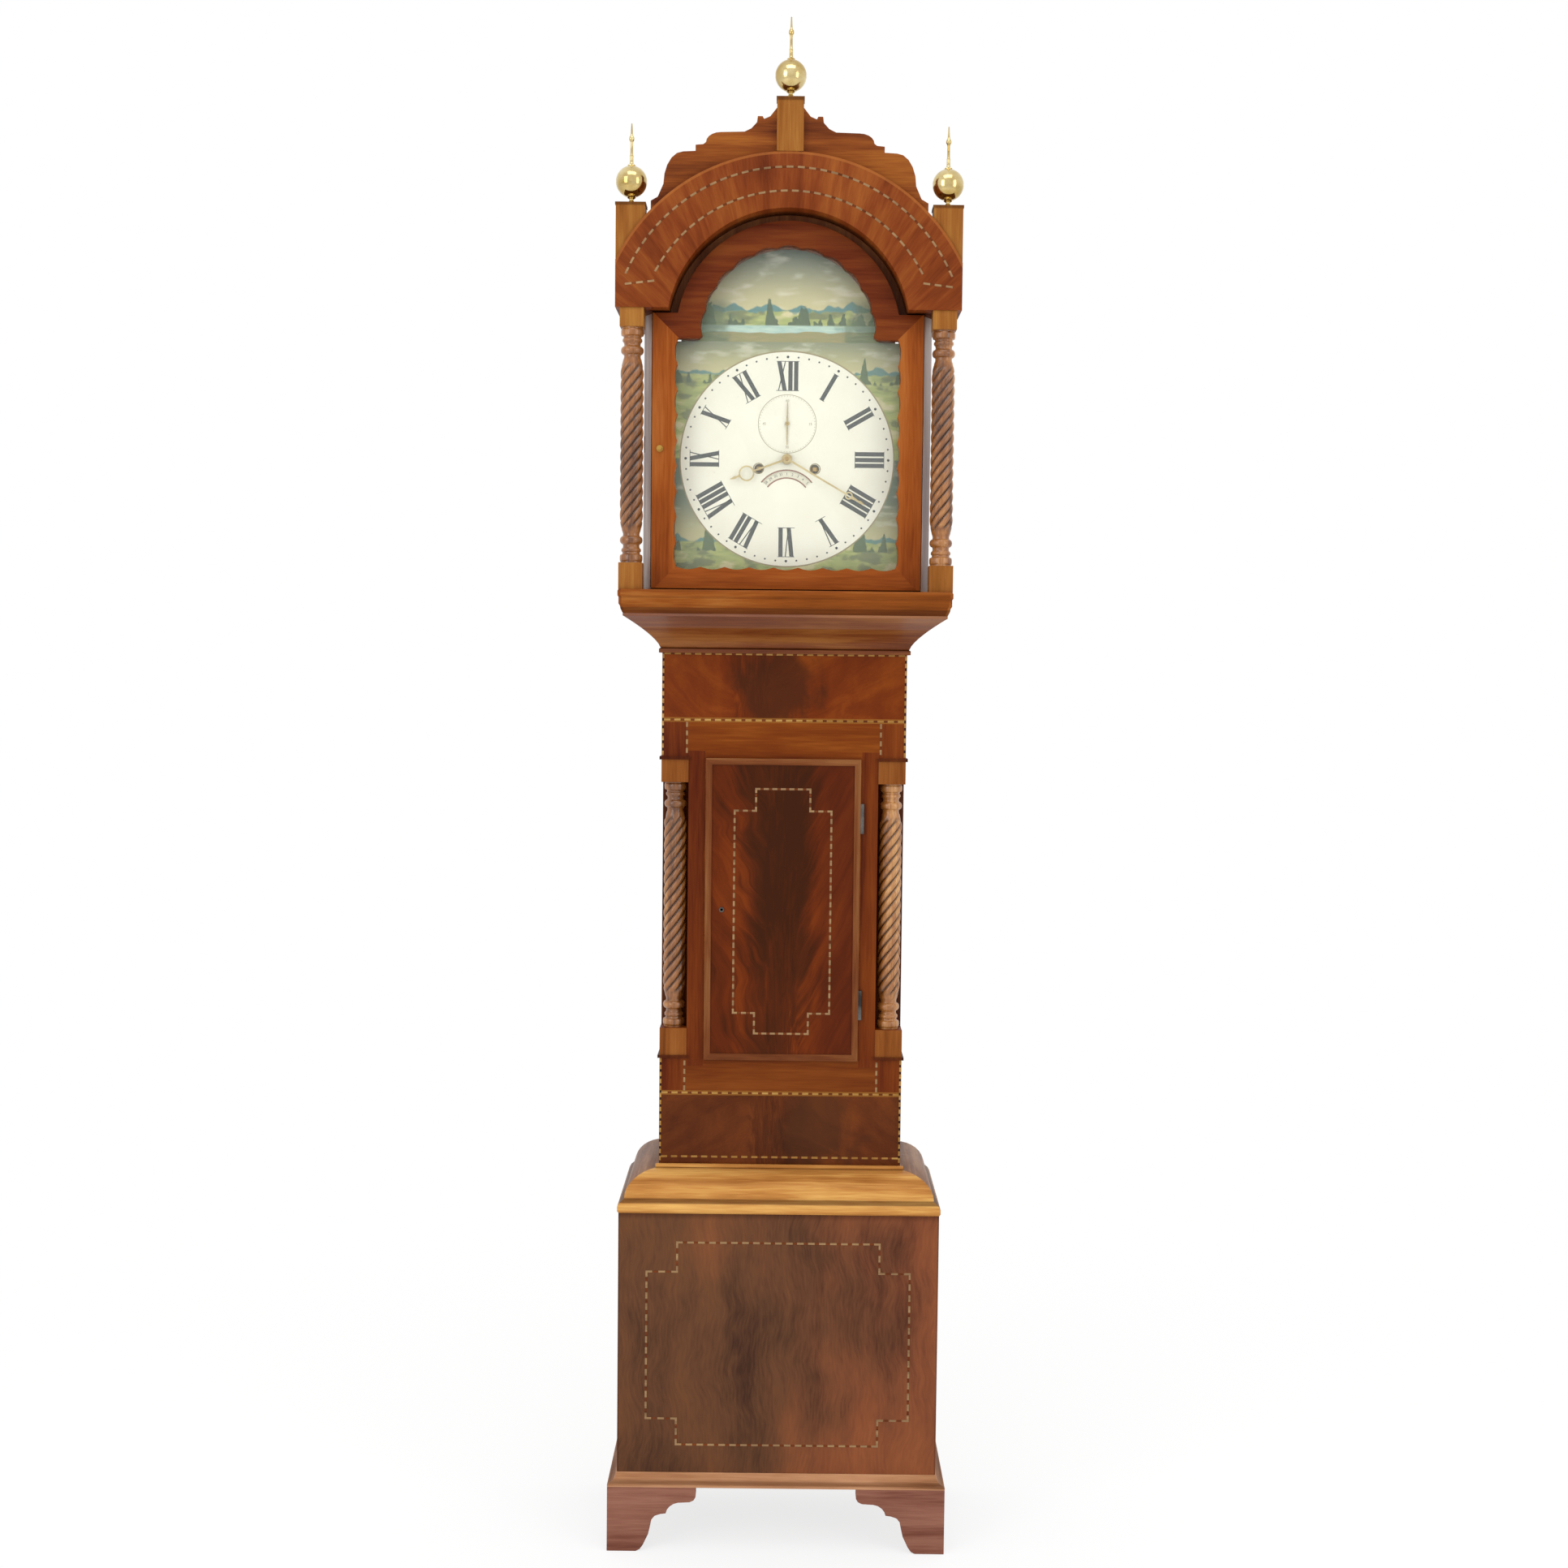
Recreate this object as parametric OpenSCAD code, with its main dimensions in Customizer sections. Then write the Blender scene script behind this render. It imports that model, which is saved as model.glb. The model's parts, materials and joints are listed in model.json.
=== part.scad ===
// Longcase clock with an arched painted dial, rope columns and an eight day movement.
// Millimetres. The origin is on the floor under the middle of the case.
// +Z is up, the dial faces -Y and the flat back is the plane y = y_back.

/* [Feet and base moulding] */
// Height of the bracket feet
foot_h = 101; // [80:1:125]
// Length of each bracket along the front, from the outer corner
foot_run = 137; // [110:1:160]
// Thickness of the bracket boards
foot_t = 22; // [16:1:26]
// Height of the base moulding
base_mould_h = 19; // [14:1:24]
// Projection of the base moulding from the plinth
base_proj = 14; // [10:1:18]

/* [Plinth] */
// Width of the plinth
plinth_w = 494; // [484:1:504]
// Height of the plinth
plinth_h = 407; // [360:1:450]
// Thickness of the plinth boards
plinth_t = 18; // [14:1:20]
// Height of the waist moulding between plinth and trunk
waist_h = 64; // [54:1:80]

/* [Trunk] */
// Width of the trunk
trunk_w = 378; // [370:1:386]
// Depth of the trunk, from its front face to the wall
trunk_d = 188; // [180:1:196]
// Height of the trunk between its mouldings
trunk_h = 806; // [780:1:840]
// Thickness of the side boards
side_t = 16; // [13:1:18]
// Thickness of the trunk's front frame
frame_t = 20; // [17:1:22]
// Thickness of the backboard
back_t = 12; // [9:1:15]
// Height of the rail under the door
low_rail_h = 171; // [150:1:190]
// Height of the column zone and the door
door_zone_h = 463; // [430:1:480]
// Size of the square recess at each front corner
recess = 42; // [40:1:44]
// Height of the blocks under the trunk columns
trunk_block_h = 43; // [36:1:50]
// Height of the blocks over the trunk columns
trunk_cap_h = 36; // [30:1:44]
// Height of the hollow moulding under the hood
throat_h = 51; // [44:1:60]

/* [Trunk door] */
// Width of the door over its moulded lip
door_w = 240; // [230:1:244]
// Overlap of the lip on the frame
lip = 6; // [5:1:9]
// Thickness of the lip
lip_t = 5; // [4:0.5:7]
// Thickness of the door behind its lip
door_t = 18; // [14:1:20]
// Radius of the hinge knuckles
knuckle_r = 3; // [2.4:0.1:3.6]
// Travel of the lock's bolt
bolt_travel = 8; // [5:1:10]

/* [Hood] */
// Width of the hood's base moulding
hood_base_w = 504; // [502:1:512]
// Height of the hood's base moulding
hood_base_h = 36; // [30:1:44]
// Height of the blocks under the hood columns
hood_block_h = 40; // [34:1:48]
// Length of the hood columns
hood_column_len = 353; // [335:1:370]
// Height of the caps over the hood columns
hood_cap_h = 28; // [22:1:34]
// Width of the column blocks
hood_block_w = 36; // [36:1:40]
// Distance of the columns' centres from the middle of the hood
hood_column_x = 235; // [233:1:238]
// Width between the inner faces of the hood's sides
hood_inner_w = 410; // [406:1:414]
// Thickness of the hood's side boards
hood_side_t = 14; // [11:1:14]
// Thickness of the frame behind the door
mask_t = 12; // [9:1:12]

/* [Arch of the hood] */
// Overall width of the arched front
arch_w = 520; // [514:1:526]
// Half the width of the arched opening
arch_in_x = 180; // [178:1:184]
// Rise of the opening over its ends
arch_in_rise = 149; // [145:1:156]
// Rise of the outer edge over the bottom of the front
arch_out_rise = 232; // [228:1:240]
// Height of the straight ends of the front
arch_end_h = 70; // [60:1:80]
// Thickness of the arched front
arch_t = 22; // [18:1:26]
// Thickness of the shaped crest board
crest_t = 14; // [10:1:17]
// Width of the corner blocks and of the key block
corner_block_w = 44; // [40:1:48]
// Height of the corner blocks' tops over the bottom of the front
corner_block_h = 156; // [150:1:165]
// Width of the key block
key_w = 40; // [34:1:46]
// Height of the key block
key_h = 80; // [72:1:88]
// Thickness of the roof board
roof_t = 6; // [4:1:8]

/* [Finials] */
// Diameter of the brass balls
ball_d = 47; // [40:1:54]
// Height of a finial over its block
finial_h = 120; // [110:1:130]

/* [Hood door] */
// Width of the hood door
hood_door_w = 411; // [405:1:412]
// Thickness of the hood door
hood_door_t = 22; // [18:1:24]
// Radius of the door's arched top
door_arch_r = 170; // [164:1:170]
// Width of the glazed opening
light_w = 335; // [328:1:342]
// Radius of the opening's arch
light_arch_r = 130; // [124:1:134]
// Depth of the scallops round the opening
scallop = 4; // [2:0.5:5]
// Thickness of the glass
glass_t = 2.5; // [2:0.5:3.5]

/* [Columns] */
// Diameter over the rope strands
rope_d = 35; // [30:1:36]
// Depth of the grooves between the strands
groove = 4; // [2:0.1:5]
// Strands in each rope
strands = 6; // [5:1:8]
// Rise of a strand in one turn
rope_pitch = 106; // [90:2:180]
// Length of the turned part at each end
turned_len = 52; // [44:1:58]

/* [Dial] */
// Width of the dial plate
dial_w = 356; // [350:1:360]
// Thickness of the dial plate
dial_t = 1.6; // [1.2:0.1:2]
// Height of the hands' centre over the bottom of the hood's door frame
dial_centre_h = 198; // [194:1:202]
// Distance of the winding holes from the middle
wind_x = 43; // [43:0.5:45]
// Distance of the winding holes under the hands' centre
wind_drop = 14.5; // [13:0.5:16]
// Distance of the seconds arbor over the hands' centre
seconds_up = 54.5; // [54:0.5:56]
// Distance of the calendar's centre under the hands' centre
calendar_drop = 66; // [64:1:70]
// Radius of the calendar disc
calendar_r = 50; // [48:1:51]
// Length of the minute hand
minute_len = 140; // [130:1:150]
// Length of the hour hand
hour_len = 94; // [88:1:100]
// Length of the seconds hand
seconds_len = 33; // [28:1:38]

/* [Movement] */
// Width of the movement plates
plate_w = 150; // [146:1:156]
// Height of the plates
plate_h = 176; // [174:1:180]
// Thickness of the plates
plate_t = 3; // [2.5:0.1:3.5]
// Distance between the plates
plate_gap = 65; // [64:1:67]
// Distance from the dial's face to the front plate
dial_gap = 32; // [31:1:34]
// Thickness of the seatboard
seat_t = 14; // [12:1:18]
// Radius of the barrels: sixteen turns, eight days, for a fall of about one metre
barrel_r = 20; // [18:0.5:24]
// Clearance of an arbor in its hole
running_fit = 0.06; // [0.03:0.01:0.1]

/* [Weights and pendulum] */
// Diameter of the weights
weight_d = 66; // [60:1:72]
// Height of a weight
weight_h = 190; // [170:1:210]
// Length of line from the seatboard to the pulley, fully wound
line_len = 200; // [180:1:240]
// Length of the pendulum, from its bending point to the bob's middle
pendulum_len = 994; // [980:1:1000]
// Diameter of the bob
bob_d = 110; // [96:1:120]
// Thickness of the bob
bob_t = 28; // [24:1:28]

/* [Hidden] */
$fn = 64;

// Small overlap that makes a cut pass cleanly through a face
cut = 1;

// Open seam under the key block, where it stands over a curved edge
seam = 0.1;

// Heights, from the floor up
z_base = foot_h;
z_plinth = z_base + base_mould_h;
z_waist = z_plinth + plinth_h;
z_trunk = z_waist + waist_h;
z_zone = z_trunk + low_rail_h;
z_zone_top = z_zone + door_zone_h;
z_throat = z_trunk + trunk_h;
z_hood = z_throat + throat_h;
z_deck = z_hood + hood_base_h;
z_column = z_deck + hood_block_h;
z_cap = z_column + hood_column_len;
z_arch = z_cap + hood_cap_h;
z_corner = z_arch + corner_block_h;
z_key = z_arch + arch_out_rise;

// Gap between the hood door and the posts beside it
post_gap = 1;

// Half widths
plinth_x = plinth_w / 2;
trunk_x = trunk_w / 2;
hood_base_x = hood_base_w / 2;
hood_door_x = hood_door_w / 2;
post_x = hood_door_x + post_gap;
hood_in_x = hood_inner_w / 2;
hood_out_x = hood_in_x + hood_side_t;
arch_x = arch_w / 2;

// Projection shared by the waist and throat mouldings, which are mitred at the corners
waist_proj = plinth_x - trunk_x;
throat_proj = waist_proj - 1;

// Depths: the trunk's front sets the plinth's and hood's fronts through the mouldings
y_back = (trunk_d + waist_proj + base_proj) / 2;
y_trunk = y_back - trunk_d;
y_plinth = y_trunk - waist_proj;
y_feet = y_plinth - base_proj;
y_throat = y_trunk - throat_proj;
hood_overhang = hood_base_x - trunk_x - throat_proj;
y_hood = y_throat - hood_overhang;

// Fronts of the hood's parts, measured from the throat moulding's upper edge
y_arch = y_throat - 3;
y_hood_door = y_throat + 26;
y_mask = y_hood_door + hood_door_t + 2;
hood_column_y = y_arch + 2 + hood_block_w / 2;

// Arcs of the arched front: a chord's half width and rise give a radius and a centre
function arc_r(half, rise) = (half * half + rise * rise) / (2 * rise);
arch_in_r = arc_r(arch_in_x, arch_in_rise);
arch_in_z = z_arch + arch_in_rise - arch_in_r;
arch_out_r = arc_r(arch_x, arch_out_rise - arch_end_h);
arch_out_z = z_arch + arch_out_rise - arch_out_r;
roof_r = arch_out_r - 3;
roof_front_x = arch_x - corner_block_w - 2;
roof_side_h = arch_out_z + sqrt(pow(roof_r, 2) - pow(hood_out_x, 2)) - cut;

// Height and projection of the small strips over and under the column blocks
tab = 5;

// Trunk door, in the zone between the rails
door_gap = 2;
door_x = door_w / 2;
door_open_x = door_x - lip + 1.5;
door_body_x = door_open_x - door_gap;
door_margin = 6;
door_z0 = z_zone - door_margin;
door_z1 = z_zone_top + door_margin / 3;
hinge_x = door_x + knuckle_r;
hinge_y = y_trunk - knuckle_r;
hinge_len = 46;
key_z = (door_z0 + door_z1) / 2;
key_x = -door_x + 26;
lock_w = 34;
lock_h = 60;
lock_t = 8;

// Dial and hands, with their planes stepped forward from the dial's face
dial_x = dial_w / 2;
dial_z = z_deck + 6 + dial_centre_h;
y_dial = y_mask + mask_t + 6;
dial_square_z = dial_z + dial_x;
dial_arch_z = z_arch - 34;
dial_arch_r = light_arch_r + 10;
hand_t = 1.2;
y_seconds = y_dial - 2.6;
y_hour = y_dial - 6;
y_minute = y_dial - 9.6;

// Plates
y_front = y_dial + dial_gap;
y_gap0 = y_front + plate_t;
y_gap1 = y_gap0 + plate_gap;
y_rear = y_gap1 + plate_t;
seat_z = dial_z - 80;
plate_top = seat_z + plate_h;
pivot_r = 1.2;

// Arbor places as seen from the front, [across, up] from the hands' centre
centre = [0, 0];
wind_g = [wind_x, -wind_drop];
wind_s = [-wind_x, -wind_drop];
escape = [0, seconds_up];
anchor = [0, seconds_up + 28];

// Tooth counts
great_n = 96;
centre_n = 60;
third_n = 56;
escape_n = 30;
pinion_n = 8;
escape_pinion_n = 7;
strike_great_n = 84;
pin_n = 64;
gathering_n = 56;
warning_n = 48;
motion_n = 36;
minute_pinion_n = 6;
hour_n = 72;

// Modules: the first mesh spans the distance from the barrel to the centre arbor
great_span = norm(wind_g - centre);
great_m = 2 * great_span / (great_n + pinion_n);
centre_m = 0.9;
third_m = 0.85;
strike_great_m = 0.87;
pin_m = 0.8;
gathering_m = 0.7;
warning_m = 0.65;
motion_m = 0.9;
minute_span = motion_m * motion_n;
hour_m = 2 * minute_span / (hour_n + minute_pinion_n);

// The third arbor stands where its two meshes meet
third_a = centre_m * (centre_n + pinion_n) / 2;
third_b = third_m * (third_n + escape_pinion_n) / 2;
third_up = (third_a * third_a - third_b * third_b + seconds_up * seconds_up) / (2 * seconds_up);
third = [sqrt(third_a * third_a - third_up * third_up), third_up];

// The striking train climbs on the left, each arbor at a bearing from the last
function step_from(p, span, bearing) = p + span * [cos(bearing), sin(bearing)];
pin_span = strike_great_m * (strike_great_n + pinion_n) / 2;
gathering_span = pin_m * (pin_n + pinion_n) / 2;
warning_span = gathering_m * (gathering_n + pinion_n) / 2;
fly_span = warning_m * (warning_n + escape_pinion_n) / 2;
pin_bearing = 95;
gathering_bearing = 45;
warning_bearing = 110;
fly_bearing = 20;
pin_at = step_from(wind_s, pin_span, pin_bearing);
gathering_at = step_from(pin_at, gathering_span, gathering_bearing);
warning_at = step_from(gathering_at, warning_span, warning_bearing);
fly_at = step_from(warning_at, fly_span, fly_bearing);
minute_bearing = -50;
minute_at = step_from(centre, minute_span, minute_bearing);
hammer_at = [-67, 58];

// Planes of the wheels between the plates, from the front plate back
y_centre = y_gap0 + 3;
y_warning = y_gap0 + 7;
y_barrel = y_gap0 + 7;
barrel_len = 40;
y_fly = y_gap0 + 15;
y_third = y_gap0 + 23;
y_gathering = y_gap0 + 35;
y_escape = y_gap0 + 45;
y_great = y_gap0 + 49;
y_pin = y_gap0 + 55;
wheel_t = 2;
great_t = 3;
pinion_t = 6;

// Levers of the striking work in front of the front plate
y_rack = y_front - 17;
y_lift = y_front - 5;
rack_at = [-30, -52];
hook_at = [-50, 62];
lift_at = [50, 14];
lever_t = 2;
snail_r = 22;
snail_step = 1.05;
rack_teeth = 14;
rack_r = 92;
rack_span = 16;
tail_len = 38.4;

// Bearing of one place from another, and the phase that puts two gears in mesh
function bearing(a, b) = atan2(b[1] - a[1], b[0] - a[0]);
function mesh(a, b, phase, na, nb) =
    bearing(a, b) + 180 - 180 / nb + (bearing(a, b) - phase) * na / nb;

// Weights
y_weight = y_barrel + barrel_len / 2 - 1;
line_r = 0.9;
pulley_z = seat_z - seat_t - line_len;
pulley_r = barrel_r;
pulley_t = 10;
weight_top = pulley_z - pulley_r - 14;

// Pendulum, behind the back plate
y_pendulum = y_rear + 17;
bend_z = dial_z + anchor[1];
bob_z = bend_z - pendulum_len;
rod_w = 6;
rod_t = 3;
rod_end = bob_z - bob_d / 2 - 34;
nut_r = 11;
nut_h = 9;
nut_gap = 0.4;
thread_r = 1.8;
spring_t = 0.8;
bend_gap = 0.5;

// A box given by its two corners
module board(x0, x1, y0, y1, z0, z1) {
    translate([x0, y0, z0]) cube([x1 - x0, y1 - y0, z1 - z0]);
}

// The same thing on both sides of the case
module both_sides() {
    children();
    mirror([1, 0, 0]) children();
}

// A flat outline seen from the front, given a thickness from y0 back to y1
module sheet(y0, y1, at = [0, 0], z = 0) {
    translate([at[0], y1, z + at[1]]) rotate([90, 0, 0]) linear_extrude(height = y1 - y0) children();
}

// A round bar along Y at an arbor place of the movement
module bar(at, y0, y1, r) {
    translate([at[0], y1, dial_z + at[1]]) rotate([90, 0, 0]) cylinder(h = y1 - y0, r = r);
}

// A block with a moulded edge on its front and two sides; outline is [projection, height]
module moulded_block(half, front, outline) {
    n = len(outline);
    left = [for (i = [n - 1:-1:0]) [-half - outline[i][0], outline[i][1]]];
    right = [for (p = outline) [half + p[0], p[1]]];
    face = [for (p = outline) [front - p[0], p[1]]];
    rear = [[y_back, outline[n - 1][1]], [y_back, outline[0][1]]];
    intersection() {
        translate([0, y_back, 0]) rotate([90, 0, 0])
            linear_extrude(height = 2 * plinth_w) polygon(concat(right, left));
        translate([-plinth_w, 0, 0]) rotate([90, 0, 90])
            linear_extrude(height = 2 * plinth_w) polygon(concat(face, rear));
    }
}

// Points of a hollow quarter curve from [p0, z0] in and up to [p1, z1]
function hollow(p0, z0, p1, z1, n = 8) =
    [for (i = [0:n]) let (a = 90 * i / n) [p0 + (p1 - p0) * sin(a), z0 + (z1 - z0) * (1 - cos(a))]];

// A spur gear's outline, with narrow tips on wide roots
module gear(n, m, phase, add, ded, tip, root) {
    rp = n * m / 2;
    pitch = 360 / n;
    polygon([for (i = [0:n - 1], s = [[-root, -ded], [-tip, add], [tip, add], [root, -ded]])
        let (a = phase + (i + s[0] / 2) * pitch, r = rp + s[1] * m) [r * cos(a), r * sin(a)]]);
}

module wheel_gear(n, m, phase) gear(n, m, phase, 0.9, 1.4, 0.16, 0.66);
module pinion_gear(n, m, phase) gear(n, m, phase, 0.6, 1.4, 0.24, 0.36);
module even_gear(n, m, phase) gear(n, m, phase, 0.8, 1.15, 0.2, 0.66);

// The four openings between the crossings of a wheel
module crossings(rim, hub, arms = 4) {
    difference() {
        circle(r = rim);
        circle(r = hub);
        for (i = [0:arms - 1]) rotate(i * 360 / arms) translate([0, -2]) square([rim + 1, 4]);
    }
}

// A crossed wheel at an arbor place
module crossed_wheel(at, y, t, n, m, phase, hub = 7) {
    rim = n * m / 2 - 1.4 * m - 3.2;
    sheet(y, y + t, at, dial_z) difference() {
        wheel_gear(n, m, phase);
        crossings(rim, hub);
    }
}

// A pinion at an arbor place
module pinion(at, y0, y1, n, m, phase) {
    sheet(y0, y1, at, dial_z) pinion_gear(n, m, phase);
}

// An arbor between the plates with a pivot in each plate
module arbor(at, r = 2) {
    bar(at, y_gap0 + 0.5, y_gap1 - 0.5, r);
    bar(at, y_front, y_rear, pivot_r);
}

// Case

module backboard() color("saddlebrown") {
    board(-plinth_x + plinth_t, plinth_x - plinth_t, y_back - back_t, y_back, z_base, z_waist);
    board(-trunk_x + side_t, trunk_x - side_t, y_back - back_t, y_back, z_waist - cut,
        z_arch + arch_in_rise - 14);
}

module plinth_front_panel() color("sienna")
    board(-plinth_x, plinth_x, y_plinth, y_plinth + plinth_t, z_plinth, z_waist);

module plinth_sides() color("sienna") both_sides()
    board(plinth_x - plinth_t, plinth_x, y_plinth + plinth_t, y_back, z_plinth, z_waist);

// A bracket seen square on: the foot itself, then two rounded steps up to the moulding
module bracket(run) {
    foot = run - 84;
    polygon([[0, 0], [foot - 8, 0], [foot - 2, 3], [foot + 3, 10], [foot + 11, 27],
        [foot + 14, 40], [foot + 16, 50], [foot + 21, 56], [foot + 30, 59], [foot + 38, 60],
        [foot + 40, 66], [foot + 44, 71], [foot + 50, 75], [foot + 57, 77],
        [run - 9, 78], [run - 3, 81], [run, 86], [run, foot_h], [0, foot_h]]);
}

module bracket_feet() color("brown") both_sides() {
    outer = plinth_x + base_proj;
    translate([outer, y_feet + foot_t, 0]) rotate([90, 0, 0]) linear_extrude(height = foot_t)
        mirror([1, 0]) bracket(foot_run);
    side_run = (y_back - y_feet) * 0.45;
    intersection() {
        translate([outer - foot_t, y_feet, 0]) rotate([90, 0, 90])
            linear_extrude(height = foot_t) bracket(side_run);
        board(0, outer, y_feet + foot_t, y_back, 0, foot_h);
    }
    translate([outer - foot_t, y_back, 0]) rotate([90, 0, 90]) linear_extrude(height = foot_t)
        mirror([1, 0]) bracket(side_run);
}

module base_moulding() color("brown") difference() {
    moulded_block(plinth_x, y_plinth, concat([[base_proj, z_base], [base_proj, z_base + 4]],
        hollow(base_proj - 2, z_base + 5, 1, z_plinth - 1, 6), [[0, z_plinth]]));
    board(-plinth_x + plinth_t, plinth_x - plinth_t, y_plinth + plinth_t, y_back + cut,
        z_base - cut, z_plinth + cut);
}

// A broad ovolo between the band on the plinth and the bead under the trunk
module waist_moulding() color("peru") difference() {
    foot_p = waist_proj - 8;
    foot_z = z_waist + 22;
    rise = z_trunk - 6 - foot_z;
    moulded_block(trunk_x, y_trunk, concat([[waist_proj, z_waist], [waist_proj + 2, z_waist + 3],
        [waist_proj + 2, z_waist + 10], [waist_proj - 1, z_waist + 15], [waist_proj - 6, z_waist + 19],
        [foot_p, foot_z - 2]],
        [for (i = [0:8]) let (a = 90 * i / 8) [4 + (foot_p - 4) * cos(a), foot_z + rise * sin(a)]],
        [[5, z_trunk - 5], [5, z_trunk]]));
    board(-trunk_x, trunk_x, y_trunk, y_back + cut, z_waist - cut, z_trunk + cut);
}

// A trunk side seen from the side, with the corner recess cut from its front
module side_outline() {
    cheek = y_trunk + frame_t;
    polygon([[cheek, z_waist], [y_back, z_waist], [y_back, seat_z - seat_t],
        [y_front - 16, seat_z - seat_t], [y_front - 16, z_hood], [cheek, z_hood],
        [cheek, z_zone_top], [y_trunk + recess, z_zone_top], [y_trunk + recess, z_zone],
        [cheek, z_zone]]);
}

module trunk_sides() color("sienna") both_sides()
    translate([trunk_x - side_t, 0, 0]) rotate([90, 0, 90])
        linear_extrude(height = side_t) side_outline();

module trunk_front_frame() color("saddlebrown") {
    y1 = y_trunk + frame_t;
    board(-trunk_x, trunk_x, y_trunk, y1, z_waist, z_zone);
    board(-trunk_x, trunk_x, y_trunk, y1, z_zone_top, z_hood);
    both_sides() {
        board(door_open_x, trunk_x - recess, y_trunk, y1, z_zone, z_zone_top);
        board(trunk_x - recess - 4, trunk_x - recess, y1, y_trunk + recess + 4, z_zone, z_zone_top);
        board(trunk_x - recess, trunk_x - side_t, y_trunk + recess, y_trunk + recess + 4,
            z_zone, z_zone_top);
        board(trunk_x - recess, trunk_x, y_trunk - 2, y_trunk + recess, z_zone,
            z_zone + trunk_block_h);
        board(trunk_x - recess, trunk_x, y_trunk - 2, y_trunk + recess,
            z_zone_top - trunk_cap_h, z_zone_top);
        for (z = [z_zone - tab + 1, z_zone_top - 1]) {
            board(trunk_x - recess - 2, trunk_x + 3, y_trunk - tab, y_trunk, z, z + tab);
            board(trunk_x, trunk_x + 3, y_trunk, y_trunk + recess, z, z + tab);
        }
    }
}

// Turned end of a column: [distance from the end, share of the rope's radius]
turning = [[0, 0.93], [0.05, 0.98], [0.22, 0.98], [0.28, 0.76], [0.38, 0.84], [0.5, 0.7],
    [0.57, 0.97], [0.74, 0.97], [0.82, 0.72], [1, 0.86]];

// A rope column standing on z = 0: rings of points that turn as they climb
module rope_column(len) {
    rope_r = rope_d / 2;
    twist_len = len - 2 * turned_len;
    steps = ceil(twist_len / 8);
    low = [for (t = turning) [t[0] * turned_len, t[1] * rope_r, 0]];
    rope = [for (i = [1:steps - 1]) [turned_len + twist_len * i / steps, rope_r, groove]];
    high = [for (i = [len(turning) - 1:-1:0])
        [len - turning[i][0] * turned_len, turning[i][1] * rope_r, 0]];
    rings = concat(low, rope, high);
    sides = 2 * strands;
    points = [for (g = rings, k = [0:sides - 1])
        let (a = 360 * (k / sides + g[0] / rope_pitch), r = g[1] - (k % 2) * g[2])
        [r * cos(a), r * sin(a), g[0]]];
    last = len(rings) - 1;
    walls = [for (i = [0:last - 1], k = [0:sides - 1], h = [0, 1])
        let (a = i * sides + k, b = i * sides + (k + 1) % sides)
        h == 0 ? [a, a + sides, b + sides] : [a, b + sides, b]];
    foot = [[for (k = [0:sides - 1]) k]];
    head = [[for (k = [sides - 1:-1:0]) last * sides + k]];
    polyhedron(points, concat(walls, foot, head));
}

// The strands of both columns lean the same way, so they are copies and not mirror images
module trunk_columns() color("chocolate")
    for (s = [-1, 1])
        translate([s * (trunk_x - recess / 2), y_trunk + recess / 2, z_zone + trunk_block_h])
            rope_column(door_zone_h - trunk_block_h - trunk_cap_h);

module throat_moulding() color("sienna") difference() {
    moulded_block(trunk_x, y_trunk, concat([[5, z_throat - 8], [5, z_throat - 2], [2, z_throat]],
        [for (i = [0:8]) let (t = i / 8)
            [3 + (throat_proj - 5) * pow(t, 1.4), z_throat + (throat_h - 5) * t]],
        [[throat_proj, z_hood - 4], [throat_proj, z_hood]]));
    board(-trunk_x, trunk_x, y_trunk, y_back + cut, z_throat - 8 - cut, z_hood + cut);
}

module seatboard() color("burlywood") difference() {
    board(-trunk_x, trunk_x, y_front - 10, y_rear + 4, seat_z - seat_t, seat_z);
    for (s = [-1, 1], x = [-pulley_r, pulley_r])
        board(s * wind_x + x - 4, s * wind_x + x + 4, y_weight - 22, y_weight + 22,
            seat_z - seat_t - cut, seat_z + cut);
}

// Movement frame

all_arbors = [wind_g, wind_s, third, escape, pin_at, gathering_at, warning_at, fly_at, anchor,
    hammer_at];

module plate(y0) {
    difference() {
        board(-plate_w / 2, plate_w / 2, y0, y0 + plate_t, seat_z, plate_top);
        for (p = all_arbors) bar(p, y0 - cut, y0 + plate_t + cut, pivot_r + running_fit);
        for (p = [wind_g, wind_s]) bar(p, y0 - cut, y0 + plate_t + cut, 4 + running_fit);
        bar(centre, y0 - cut, y0 + plate_t + cut, 2.5 + running_fit);
    }
}

pillars = [[-66, -70], [66, -70], [-70, 84], [70, 84]];

minute_stud_r = 0.8;

// A stud on the front plate for a lever or a wheel
module stud(at, y0, r = 2) bar(at, y0, y_front, r);

module front_plate() color("gold") {
    plate(y_front);
    stud(minute_at, y_front - 14, minute_stud_r);
    stud(rack_at, y_rack - 1);
    stud(hook_at, y_rack - 1);
    stud(lift_at, y_lift - 1);
}

module back_plate() color("gold") {
    difference() {
        plate(y_gap1);
        bar(anchor, y_gap1 - cut, y_rear + cut, 5);
    }
    for (p = pillars) {
        bar(p, y_gap0, y_gap1, 4);
        bar(p, y_gap0 + plate_gap * 0.4, y_gap0 + plate_gap * 0.6, 5.5);
    }
    both_sides() board(9, 15, y_rear, y_pendulum + 8, bend_z - 10, bend_z + 22);
    difference() {
        board(-10, 10, y_rear + 6, y_rear + 8, bend_z - 8, bend_z + 22);
        bar(anchor, y_rear, y_rear + 9, pivot_r + running_fit);
    }
    board(-15, 15, y_pendulum - 8, y_pendulum + 8, bend_z + 14, bend_z + 22);
    board(-4, 4, y_pendulum - spring_t / 2, y_pendulum + spring_t / 2, bend_z + bend_gap, bend_z + 15);
}

bell_at = [30, 150];
bell_r = 46;

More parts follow.
